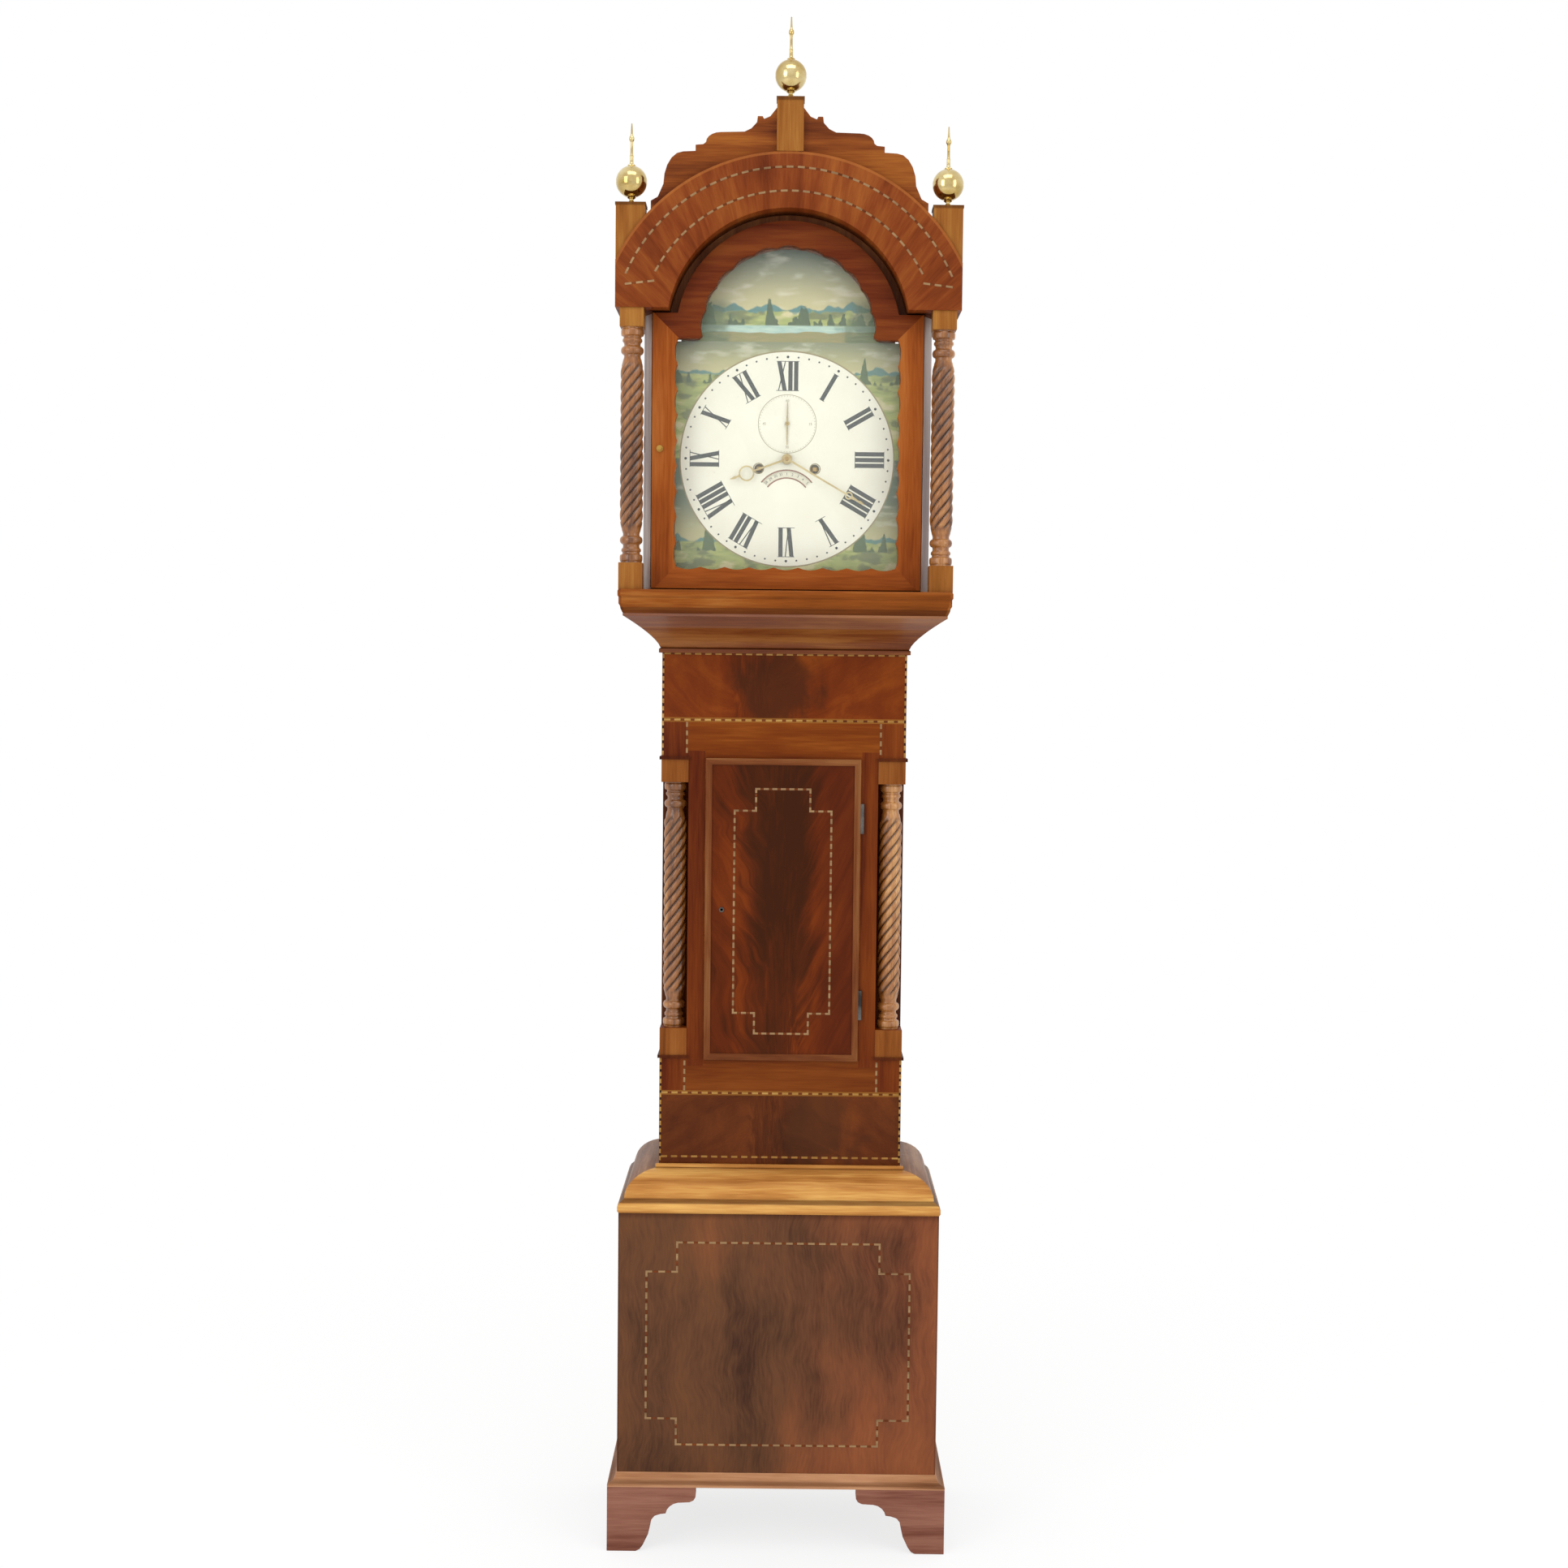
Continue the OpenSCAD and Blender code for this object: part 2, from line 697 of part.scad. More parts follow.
module bell() color("silver") {
    translate([bell_at[0], y_gap0 + 44, dial_z + bell_at[1]]) {
        rotate_extrude() polygon(concat(
            [for (i = [0:8]) let (a = 90 * i / 8) [4 + (bell_r - 4) * sin(a), -bell_r * (1 - cos(a)) * 0.8]],
            [for (i = [8:-1:0]) let (a = 90 * i / 8)
                [4 + (bell_r - 7) * sin(a), -2.5 - (bell_r * (1 - cos(a)) * 0.8 - 2.5 * (1 - cos(a)))]]));
        translate([0, 0, -45]) cylinder(h = 49, r = 4);
        translate([0, 0, 4]) cylinder(h = 4, r = 6, $fn = 6);
    }
    bell_z = dial_z + bell_at[1];
    translate([bell_at[0], 0, 0]) {
        board(-4, 4, y_gap0 + 44, y_rear + 3, bell_z - 46, bell_z - 41);
        board(-4, 4, y_rear, y_rear + 3, plate_top - 20, bell_z - 41);
    }
}

// Dial: a square with an arch over it, as seen from the front
module dial_outline() {
    union() {
        translate([-dial_x, dial_z - dial_x]) square([dial_w, dial_w]);
        intersection() {
            translate([0, dial_arch_z]) circle(r = dial_arch_r);
            translate([-dial_arch_r, dial_square_z - 1]) square([2 * dial_arch_r, dial_arch_r + 10]);
        }
    }
}

// The curved slot that shows the date
module calendar_slot() {
    r0 = calendar_r - 11;
    r1 = calendar_r - 2;
    polygon(concat([for (a = [40:5:140]) [r1 * cos(a), r1 * sin(a)]],
        [for (a = [140:-5:40]) [r0 * cos(a), r0 * sin(a)]]));
}

dial_feet = [[-60, 76], [60, 76], [-60, -66], [60, -66]];

module dial_plate() color("ivory") {
    difference() {
        sheet(y_dial, y_dial + dial_t) dial_outline();
        bar(centre, y_dial - cut, y_dial + dial_t + cut, 8);
        bar(escape, y_dial - cut, y_dial + dial_t + cut, 3);
        for (p = [wind_g, wind_s]) bar(p, y_dial - cut, y_dial + dial_t + cut, 7);
        sheet(y_dial - cut, y_dial + dial_t + cut, [0, -calendar_drop], dial_z) calendar_slot();
    }
    for (p = dial_feet) bar(p, y_dial + dial_t, y_front, 3);
    bar([0, -calendar_drop], y_dial + dial_t, y_dial + dial_t + 5, 1.5);
}

module calendar_disc() color("ivory") difference() {
    y0 = y_dial + dial_t + 0.8;
    bar([0, -calendar_drop], y0, y0 + 1, calendar_r);
    bar([0, -calendar_drop], y0 - cut, y0 + 2, 1.5 + running_fit);
}

// Place of the turn catch, on the left stile of the hood door
catch_at = [-(0.32 * light_w / 2 + 0.68 * hood_door_x), 10];
catch_z = dial_z + catch_at[1];
catch_r = 2;

// Hood

module hood_base() color("peru") difference() {
    moulded_block(hood_base_x, y_hood, [[-6, z_hood], [-3, z_hood + 6], [-2, z_hood + 11],
        [0, z_hood + 14], [0, z_deck - 12], [1.5, z_deck - 10], [1.5, z_deck - 3], [0, z_deck]]);
    board(-trunk_x - 4, trunk_x + 4, y_trunk - 4, y_back + cut, z_hood - cut, z_deck + cut);
}

// Opening of the hood door without its scallops, grown by a margin
module light_outline(grow) {
    translate([-light_w / 2 - grow, z_deck + 36 - grow])
        square([light_w + 2 * grow, dial_arch_z - 7 - z_deck - 36 + 2 * grow]);
    intersection() {
        translate([0, dial_arch_z]) circle(r = light_arch_r + grow);
        translate([-light_arch_r - grow, dial_arch_z - 9])
            square([2 * (light_arch_r + grow), light_arch_r + grow + 10]);
    }
}

// Outline of the hood's box under its round roof, seen from the front
module shell_outline(half, r, z0) {
    translate([-half, z0]) square([2 * half, roof_side_h - z0]);
    intersection() {
        translate([0, arch_out_z]) circle(r = r, $fn = 128);
        translate([-half, roof_side_h - cut]) square([2 * half, roof_r]);
    }
}

module hood_shell(half) {
    difference() {
        shell_outline(half, roof_r, z_deck);
        shell_outline(hood_in_x, roof_r - roof_t, z_deck - cut);
    }
}

module hood_carcass() color("sienna") {
    sheet(y_mask + mask_t - 1, y_back) hood_shell(hood_out_x);
    intersection() {
        sheet(y_arch + arch_t, y_mask + 1) hood_shell(roof_front_x);
        board(-arch_x, arch_x, y_arch, y_mask + 2, z_arch + arch_end_h, z_key);
    }
    difference() {
        both_sides() translate([0, 0, z_deck]) linear_extrude(height = z_arch - z_deck)
            polygon([[post_x, y_hood_door], [hood_out_x, y_mask], [hood_out_x, y_mask + 1],
                [post_x, y_mask + 1]]);
        board(-hood_out_x, -hood_in_x, y_mask - 3, y_mask + cut, catch_z - 4, catch_z + 21);
    }
    difference() {
        sheet(y_mask, y_mask + mask_t) shell_outline(hood_out_x, roof_r, z_deck);
        sheet(y_mask - cut, y_mask + mask_t + cut) light_outline(4);
    }
}

module hood_blocks() color("peru") {
    y0 = hood_column_y - hood_block_w / 2;
    both_sides() {
        translate([hood_column_x - hood_block_w / 2, y0, 0]) {
            translate([0, 0, z_deck]) cube([hood_block_w, hood_block_w, hood_block_h]);
            translate([0, 0, z_cap]) cube([hood_block_w, hood_block_w, hood_cap_h]);
        }
        difference() {
            board(arch_x - corner_block_w, arch_x, y_arch + 4, y_arch + corner_block_w - 4,
                z_arch + arch_end_h, z_corner - 4);
            sheet(y_arch, y_arch + arch_t) translate([0, arch_out_z]) circle(r = arch_out_r, $fn = 128);
        }
        board(arch_x - corner_block_w - 1, arch_x + 1, y_arch + 3, y_arch + corner_block_w - 3,
            z_corner - 4, z_corner);
    }
    board(-key_w / 2, key_w / 2, y_arch - 1, y_arch + arch_t - crest_t, z_key + seam, z_key + key_h - 5);
    board(-key_w / 2 - 1, key_w / 2 + 1, y_arch - 2, y_arch + arch_t, z_key + key_h - 5, z_key + key_h);
}

module hood_columns() color("chocolate")
    for (s = [-1, 1]) translate([s * hood_column_x, hood_column_y, z_column])
        rope_column(hood_column_len);

// The arched front with its two straight ends
module arch_outline() {
    difference() {
        intersection() {
            translate([0, arch_out_z]) circle(r = arch_out_r, $fn = 128);
            translate([-arch_x, z_arch]) square([2 * arch_x, arch_out_rise + cut]);
        }
        translate([0, arch_in_z]) circle(r = arch_in_r, $fn = 128);
    }
}

module hood_arch() color("chocolate") {
    sheet(y_arch, y_arch + arch_t) arch_outline();
    intersection() {
        sheet(y_arch + arch_t, y_mask) difference() {
            translate([0, arch_in_z]) circle(r = arch_in_r + 8, $fn = 128);
            translate([0, arch_in_z]) circle(r = arch_in_r, $fn = 128);
        }
        board(-arch_x, arch_x, y_arch, y_back, z_arch, z_key);
    }
    both_sides() {
        board(arch_in_x + 8, arch_x, y_arch + arch_t, y_mask, z_arch, z_arch + 10);
        board(hood_out_x, arch_x, y_mask, y_back, z_arch, z_arch + 10);
        board(arch_x - 12, arch_x, y_arch + arch_t, y_back, z_arch + 10, z_arch + arch_end_h);
        board(hood_out_x, arch_x - 12, y_arch + arch_t, y_back,
            z_arch + arch_end_h - 8, z_arch + arch_end_h);
    }
}

// Half of the crest's wavy top edge, from the corner block in to the key block
function crest_half() = let (w = arch_x - corner_block_w - 8, t = z_key) concat(
    [[w, z_corner - 60], [w, z_corner + 3], [0.95 * w, z_corner + 9]],
    [for (i = [0:5]) let (a = 90 * i / 5)
        [w * (0.77 + 0.14 * cos(a)), t - 48 + 48 * sin(a)]],
    [[0.68 * w, t + 1], [0.68 * w, t + 10], [0.625 * w, t + 11]],
    [for (i = [0:5]) let (a = 90 * i / 5)
        [w * (0.5 + 0.106 * cos(a)), t + 14 + 15 * sin(a)]],
    [[0.33 * w, t + 30], [0.28 * w, t + 35], [0.24 * w, t + 44], [0.235 * w, t + 53],
        [0.2 * w, t + 53], [0.19 * w, t + 49], [0.145 * w, t + 53], [key_w / 2, t + 66]]);

module hood_crest() color("sienna") {
    half = crest_half();
    n = len(half);
    y1 = y_arch + arch_t;
    sheet(y1 - crest_t, y1) difference() {
        polygon(concat(half, [for (i = [n - 1:-1:0]) [-half[i][0], half[i][1]]]));
        translate([0, arch_out_z]) circle(r = arch_out_r, $fn = 128);
    }
}

// A brass ball on a turned neck with a thin spire
module finial() {
    ball_z = ball_d / 2 + 10;
    rotate_extrude() polygon([[0, 0], [9, 0], [9, 2], [4, 4], [3, 7], [6, 9], [6, 11], [0, 14]]);
    translate([0, 0, ball_z]) sphere(d = ball_d);
    translate([0, 0, ball_z]) rotate_extrude() polygon([[0, 0], [6, ball_d / 2 - 1],
        [6, ball_d / 2 + 1], [3, ball_d / 2 + 3], [2.6, ball_d / 2 + 14], [1.8, finial_h - ball_z - 28],
        [4, finial_h - ball_z - 25], [4, finial_h - ball_z - 20], [1.8, finial_h - ball_z - 17],
        [0.8, finial_h - ball_z], [0, finial_h - ball_z]]);
}

module finials() color("gold") {
    for (s = [-1, 1]) translate([s * (arch_x - corner_block_w / 2), y_arch + 22, z_corner]) finial();
    translate([0, y_arch + 12, z_key + key_h]) finial();
}

// The glazed opening with its scalloped edge: arcs bulge out between cusps
function bulge(t) = scallop * abs(sin(180 * t));
function scallop_side(n) = [for (i = [0:6 * n - 1]) let (t = i / 6) [t / n, bulge(t)]];

module scalloped_light() {
    x = light_w / 2;
    z0 = z_deck + 36;
    z1 = dial_arch_z - 7;
    right = [for (s = scallop_side(9)) [x + s[1], z0 + s[0] * (z1 - z0)]];
    shoulder = [[x, z1], [light_arch_r + 6, z1]];
    arch = [for (s = scallop_side(11)) let (a = 180 * s[0], r = light_arch_r + s[1])
        [r * cos(a), dial_arch_z + r * sin(a)]];
    left = [for (s = scallop_side(9)) [-x - s[1], z1 - s[0] * (z1 - z0)]];
    bottom = [for (s = scallop_side(9)) [-x + 2 * x * s[0], z0 - s[1]]];
    polygon(concat(right, shoulder, [[light_arch_r, dial_arch_z - 3]], arch,
        [[-light_arch_r, dial_arch_z - 3], [-light_arch_r - 6, z1]], left, bottom));
}

// Outline of the hood door: a rectangle with a round arch
module hood_door_outline() {
    translate([-hood_door_x, z_deck + 3]) square([hood_door_w, z_arch - 3 - z_deck - 3]);
    intersection() {
        translate([0, arch_in_z]) circle(r = door_arch_r, $fn = 128);
        translate([-hood_door_x, z_arch - 4]) square([hood_door_w, door_arch_r]);
    }
}

glass_y = y_hood_door + hood_door_t - 6;

module hood_door_frame() color("chocolate") difference() {
    sheet(y_hood_door, y_hood_door + hood_door_t) hood_door_outline();
    sheet(y_hood_door - cut, glass_y + cut) scalloped_light();
    sheet(glass_y, y_hood_door + hood_door_t + cut) light_outline(9);
    bar(catch_at, y_hood_door - cut, y_hood_door + hood_door_t + cut, catch_r + running_fit);
}

module hood_door_glass() color("lightcyan", 0.3)
    sheet(glass_y, glass_y + glass_t) light_outline(9);

// A small brass turn catch: its tongue swings behind the corner post to hold the door
module hood_door_catch() color("gold") {
    y0 = y_hood_door - 0.3;
    y1 = y_hood_door + hood_door_t + 0.3;
    bar(catch_at, y0 - 1.2, y0, 5);
    bar(catch_at, y0 - 6, y0 - 1.2, 3.2);
    bar(catch_at, y0, y1, catch_r);
    sheet(y1, y1 + 1.2, catch_at, dial_z) union() {
        circle(r = 4);
        translate([-2.5, 0]) square([5, 19]);
    }
}

// Trunk door

module trunk_door() color("saddlebrown") {
    difference() {
        union() {
            board(-door_body_x, door_body_x, y_trunk, y_trunk + door_t, z_zone + 2, z_zone_top - 2);
            board(-door_x, door_x, y_trunk - lip_t, y_trunk, door_z0, door_z1);
        }
        board(-door_x + 10, door_x - 10, y_trunk - lip_t - cut, y_trunk - lip_t + 2,
            door_z0 + 10, door_z1 - 10);
        bar_z(key_x, key_z, y_trunk - lip_t, y_trunk + door_t + cut, 2);
    }
}

// A round bar along Y at a place of the case
module bar_z(x, z, y0, y1, r) {
    translate([x, y1, z]) rotate([90, 0, 0]) cylinder(h = y1 - y0, r = r);
}

hinge_zs = [for (t = [0.187, 0.805]) door_z0 + t * (door_z1 - door_z0)];

module trunk_door_fittings() color("goldenrod") {
    for (z = hinge_zs) {
        translate([hinge_x, hinge_y, z - hinge_len / 2]) cylinder(h = hinge_len, r = knuckle_r);
        board(door_x, hinge_x, hinge_y - 2, hinge_y + 2, z - hinge_len / 2, z + hinge_len / 2);
    }
    y0 = y_trunk + door_t;
    difference() {
        board(-door_body_x, -door_body_x + lock_w, y0, y0 + lock_t, key_z - lock_h / 2,
            key_z + lock_h / 2);
        board(-door_body_x - cut, -door_body_x + lock_w - 3, y0 + 2, y0 + lock_t - 2,
            key_z - 8, key_z + 8);
        bar_z(key_x, key_z, y0 - cut, y0 + lock_t + cut, 2);
    }
    difference() {
        bar_z(key_x, key_z, y_trunk - lip_t + 0.8, y_trunk - lip_t + 2, 4);
        bar_z(key_x, key_z, y_trunk - lip_t, y_trunk - lip_t + 3, 2);
    }
}

module trunk_lock_bolt() color("goldenrod") {
    y0 = y_trunk + door_t;
    difference() {
        board(-door_body_x + 0.5, -door_body_x + lock_w - 3.2 - 1, y0 + 2.2, y0 + lock_t - 2.2,
            key_z - 7.8, key_z + 7.8);
        board(key_x - 4, key_x + 4 + bolt_travel, y0, y0 + lock_t, key_z - 4, key_z + 4);
    }
}

// Motion work and hands. The hands show twenty past eight.
minute_angle = 120;
hour_angle = 250;
cannon_r = 3.2;
pipe_r = 5;
motion_phase = 0;
y_motion = y_front - 8;
y_hour_wheel = y_front - 12;

module cannon_pinion() color("gold") difference() {
    union() {
        bar(centre, y_minute - 2, y_front - 3, cannon_r);
        sheet(y_motion, y_motion + wheel_t, centre, dial_z) even_gear(motion_n, motion_m, motion_phase);
    }
    bar(centre, y_minute - 3, y_front, 1.9 + running_fit);
}

// A pierced hand pointing up: a stem, an open ring and a fine tip
module hand_outline(len, hub, ring_r, ring_at) {
    difference() {
        union() {
            circle(r = hub + 3);
            polygon([[-1.6, 0], [1.6, 0], [1.2, ring_at], [-1.2, ring_at]]);
            translate([0, ring_at]) circle(r = ring_r);
            polygon([[-2.6, ring_at + ring_r - 1], [2.6, ring_at + ring_r - 1], [1, len - 13],
                [2.2, len - 9], [0, len], [-2.2, len - 9], [-1, len - 13]]);
        }
        circle(r = hub);
        translate([0, ring_at]) circle(r = ring_r - 2.2);
    }
}

module hand(y, angle, len, hub, ring_r, ring_at) {
    sheet(y, y + hand_t, centre, dial_z) rotate(-angle) hand_outline(len, hub, ring_r, ring_at);
}

module minute_hand() color("gold")
    hand(y_minute, minute_angle, minute_len, cannon_r, 6, minute_len * 0.79);

module hour_hand() color("gold") hand(y_hour, hour_angle, hour_len, pipe_r, 12, hour_len * 0.7);

minute_phase = mesh(centre, minute_at, motion_phase, motion_n, motion_n);
hour_phase = mesh(minute_at, centre, 0, minute_pinion_n, hour_n);

module minute_wheel() color("gold") difference() {
    union() {
        sheet(y_motion, y_motion + wheel_t, minute_at, dial_z)
            even_gear(motion_n, motion_m, minute_phase);
        pinion(minute_at, y_hour_wheel - 1, y_motion, minute_pinion_n, hour_m, 0);
        bar(minute_at + [0, 9], y_motion + wheel_t, y_lift + 1, 1);
    }
    bar(minute_at, y_front - 20, y_front, minute_stud_r + running_fit);
}

// The snail steps in once an hour; the tail of the rack faces its step at rest
module snail() {
    polygon([for (h = [0:11], e = [0, 1])
        let (a = 160 + hour_angle - 30 * (h + e), r = snail_r - snail_step * h)
        [r * cos(a), r * sin(a)]]);
}

module hour_wheel() color("gold") difference() {
    union() {
        crossed_wheel(centre, y_hour_wheel, wheel_t, hour_n, hour_m, hour_phase, 9);
        bar(centre, y_hour - 1, y_hour_wheel + wheel_t, pipe_r);
        sheet(y_rack, y_rack + lever_t, centre, dial_z) snail();
    }
    bar(centre, y_hour - 3, y_front, cannon_r + running_fit);
}

// Going train, from the barrel up to the escape wheel
great_phase = 0;
centre_pinion_phase = mesh(wind_g, centre, great_phase, great_n, pinion_n);
third_pinion_phase = mesh(centre, third, 0, centre_n, pinion_n);
escape_pinion_phase = mesh(third, escape, 0, third_n, escape_pinion_n);

module centre_wheel() color("gold") {
    crossed_wheel(centre, y_centre, wheel_t, centre_n, centre_m, 0);
    pinion(centre, y_great - 1.5, y_great + great_t + 1.5, pinion_n, great_m, centre_pinion_phase);
    bar(centre, y_gap0 + 0.5, y_gap1 - 0.5, 2.5);
    bar(centre, y_front - 1, y_rear, 2.5);
    bar(centre, y_minute - 4, y_front, 1.9);
    bar(centre, y_minute - 4.5, y_minute - 2.2, 3);
}

module third_wheel() color("gold") {
    arbor(third);
    crossed_wheel(third, y_third, wheel_t, third_n, third_m, 0);
    pinion(third, y_centre - 2, y_centre + 4, pinion_n, centre_m, third_pinion_phase);
}

// Escape wheel: thirty pointed teeth raked one way
escape_r = 20;
module escape_wheel() color("gold") {
    pitch = 360 / escape_n;
    arbor(escape, 1.8);
    bar(escape, y_seconds - 1, y_front + 1, pivot_r);
    pinion(escape, y_third - 2, y_third + 4, escape_pinion_n, third_m, escape_pinion_phase);
    sheet(y_escape, y_escape + wheel_t, escape, dial_z) difference() {
        polygon([for (i = [0:escape_n - 1], s = [[0, escape_r], [0.12, escape_r], [0.62, escape_r - 4]])
            let (a = -(i + s[0]) * pitch) [s[1] * cos(a), s[1] * sin(a)]]);
        crossings(escape_r - 6.5, 5);
    }
}

module seconds_hand() color("goldenrod") sheet(y_seconds, y_seconds + 0.8, escape, dial_z) {
    difference() {
        union() {
            circle(r = 3.4);
            polygon([[-0.5, -seconds_len], [0.5, -seconds_len], [1.2, 0], [0.5, seconds_len],
                [-0.5, seconds_len], [-1.2, 0]]);
        }
        circle(r = pivot_r);
    }
}

module great_wheel(at, n, m, phase) {
    difference() {
        crossed_wheel(at, y_great, great_t, n, m, phase, 12);
        bar(at, y_great - cut, y_great + great_t + cut, 4 + running_fit);
    }
}

module going_great_wheel() color("gold") great_wheel(wind_g, great_n, great_m, great_phase);

// A barrel on its arbor, grooved for the line, with its winding square in front
module barrel(at) {
    bar(at, y_gap0 + 0.5, y_gap1 - 0.5, 4);
    bar(at, y_front - 1, y_rear, 4);
    bar(at, y_barrel, y_barrel + barrel_len, barrel_r - 1.5);
    bar(at, y_barrel, y_barrel + 2, barrel_r + 2);
    bar(at, y_barrel + barrel_len - 2, y_barrel + barrel_len, barrel_r + 2);
    sheet(y_dial + dial_t + 2, y_front, at, dial_z) square(6, center = true);
}

module going_barrel() color("gold") barrel(wind_g);
module strike_barrel() color("gold") barrel(wind_s);

// A round weight with a domed top and a hook, under its pulley's stirrup
module weight(x) {
    translate([x, y_weight, weight_top - weight_h]) {
        cylinder(h = weight_h - 10, r = weight_d / 2);
        translate([0, 0, weight_h - 10]) cylinder(h = 10, r1 = weight_d / 2, r2 = weight_d / 2 - 10);
        cylinder(h = weight_h + 6, r = 2.5);
    }
    y0 = y_weight - pulley_t / 2 - 1.5;
    y1 = y_weight + pulley_t / 2 + 1.5;
    for (y = [y0 - 2, y1]) board(x - 4, x + 4, y, y + 2, weight_top + 4, pulley_z + 5);
    board(x - 4, x + 4, y0 - 2, y1 + 2, weight_top + 2, weight_top + 5);
    translate([x, y1, pulley_z]) rotate([90, 0, 0]) cylinder(h = y1 - y0, r = 2.5);
}

module going_weight() color("dimgray") weight(wind_x);
module strike_weight() color("dimgray") weight(-wind_x);

// A grooved pulley that turns on the stirrup's pin
module pulley(x) {
    half = pulley_t / 2;
    translate([x, y_weight, pulley_z]) rotate([90, 0, 0]) rotate_extrude()
        polygon([[2.5 + running_fit, -half], [pulley_r + 1.5, -half], [pulley_r + 1.5, -half + 2],
            [pulley_r - 2.5, -1], [pulley_r - 2.5, 1], [pulley_r + 1.5, half - 2],
            [pulley_r + 1.5, half], [2.5 + running_fit, half]]);
}

module going_pulley() color("gold") pulley(wind_x);
module strike_pulley() color("gold") pulley(-wind_x);

// The two straight falls of a line, from the seatboard down to the pulley
module line(x) {
    for (s = [-1, 1]) translate([x + s * (pulley_r - line_r - 0.4), y_weight, pulley_z])
        cylinder(h = line_len, r = line_r, $fn = 16);
}

module going_line() color("tan") line(wind_x);
module strike_line() color("tan") line(-wind_x);

// Anchor pallets clear the wheel's tips by the swing, with the crutch behind the back plate
pallet_clear = 2.2;
module pallets() color("silver") {
    bar(anchor, y_gap0 + 0.5, y_rear + 5.5, 2);
    bar(anchor, y_front, y_rear + 8, pivot_r);
    sheet(y_escape, y_escape + wheel_t, escape, dial_z) {
        polygon(concat([for (a = [38:8:142]) (escape_r + 12) * [cos(a), sin(a)]],
            [for (a = [142:-8:38]) (escape_r + 8) * [cos(a), sin(a)]]));
        for (a = [38, 142]) polygon([(escape_r + 9) * [cos(a - 5), sin(a - 5)],
            (escape_r + 9) * [cos(a + 5), sin(a + 5)], (escape_r + pallet_clear) * [cos(a), sin(a)]]);
    }
    sheet(y_escape, y_escape + wheel_t, anchor, dial_z) circle(r = 6);
    crutch_y = y_rear + 2;
    board(-2, 2, crutch_y, crutch_y + 2.5, dial_z - 40, bend_z);
    both_sides() board(rod_t + 1, rod_t + 3, crutch_y, y_pendulum + 3, dial_z - 40, dial_z - 34);
    board(-rod_t - 3, rod_t + 3, crutch_y, crutch_y + 2.5, dial_z - 40, dial_z - 34);
}

// A flat rod, threaded under the bob. Its spring is divided where it bends, and the
// upper end is clamped in the back plate's cock.
module pendulum_rod() color("silver") {
    board(-4, 4, y_pendulum - spring_t / 2, y_pendulum + spring_t / 2, bend_z - 23, bend_z - bend_gap);
    board(-3.5, 3.5, y_pendulum - 3, y_pendulum + 3, bend_z - 34, bend_z - 22);
    board(-rod_w / 2, rod_w / 2, y_pendulum - rod_t / 2, y_pendulum + rod_t / 2,
        bob_z - bob_d / 4, bend_z - 34);
    translate([0, y_pendulum, rod_end]) cylinder(h = bob_z - bob_d / 4 - rod_end, r = thread_r);
}

// A lens shaped bob that slides on the rod
module pendulum_bob() color("goldenrod") difference() {
    r = bob_d / 2;
    translate([0, y_pendulum, bob_z]) rotate([90, 0, 0]) rotate_extrude()
        polygon(concat([[0, -bob_t / 2]],
            [for (i = [1:8]) let (a = 90 * i / 8) [r * sin(a), -1 - (bob_t / 2 - 1) * cos(a)]],
            [for (i = [8:-1:1]) let (a = 90 * i / 8) [r * sin(a), 1 + (bob_t / 2 - 1) * cos(a)]],
            [[0, bob_t / 2]]));
    board(-rod_w / 2 - 0.4, rod_w / 2 + 0.4, y_pendulum - rod_t / 2 - 0.8,
        y_pendulum + rod_t / 2 + 0.8, bob_z - r - cut, bob_z + r + cut);
}

module rating_nut() color("goldenrod") difference() {
    translate([0, y_pendulum, bob_z - bob_d / 2 - nut_gap - nut_h]) cylinder(h = nut_h, r = nut_r);
    translate([0, y_pendulum, rod_end - cut]) cylinder(h = bob_d, r = thread_r + running_fit);
}

// Striking train
pin_pinion_phase = mesh(wind_s, pin_at, 0, strike_great_n, pinion_n);
gathering_pinion_phase = mesh(pin_at, gathering_at, 0, pin_n, pinion_n);
warning_pinion_phase = mesh(gathering_at, warning_at, 0, gathering_n, pinion_n);
fly_pinion_phase = mesh(warning_at, fly_at, 0, warning_n, escape_pinion_n);
strike_pins = 8;
pin_circle = pin_m * pin_n / 2 - 2.8;

module strike_great_wheel() color("gold")
    great_wheel(wind_s, strike_great_n, strike_great_m, 0);

module pin_wheel() color("gold") {
    arbor(pin_at, 2.2);
    crossed_wheel(pin_at, y_pin, wheel_t, pin_n, pin_m, 0);
    pinion(pin_at, y_great - 1.5, y_great + great_t + 1.5, pinion_n, strike_great_m, pin_pinion_phase);
    for (i = [0:strike_pins - 1]) let (a = 360 * i / strike_pins)
        bar(pin_at + pin_circle * [cos(a), sin(a)], y_pin + wheel_t, y_pin + wheel_t + 4, 1);
}

module gathering_wheel() color("gold") {
    arbor(gathering_at);
    crossed_wheel(gathering_at, y_gathering, wheel_t, gathering_n, gathering_m, 0, 6);
    pinion(gathering_at, y_pin - 1.5, y_pin + wheel_t + 1.5, pinion_n, pin_m, gathering_pinion_phase);
    bar(gathering_at, y_rack, y_front, pivot_r);
    sheet(y_rack, y_rack + lever_t, gathering_at, dial_z) {
        circle(r = 3.2);
        polygon([[-0.8, -5.2], [0.8, -5.2], [1.8, 0], [-1.8, 0]]);
    }
}

module warning_wheel() color("gold") {
    arbor(warning_at);
    crossed_wheel(warning_at, y_warning, wheel_t, warning_n, warning_m, 0, 5);
    pinion(warning_at, y_gathering - 2, y_gathering + 4, pinion_n, gathering_m, warning_pinion_phase);
}

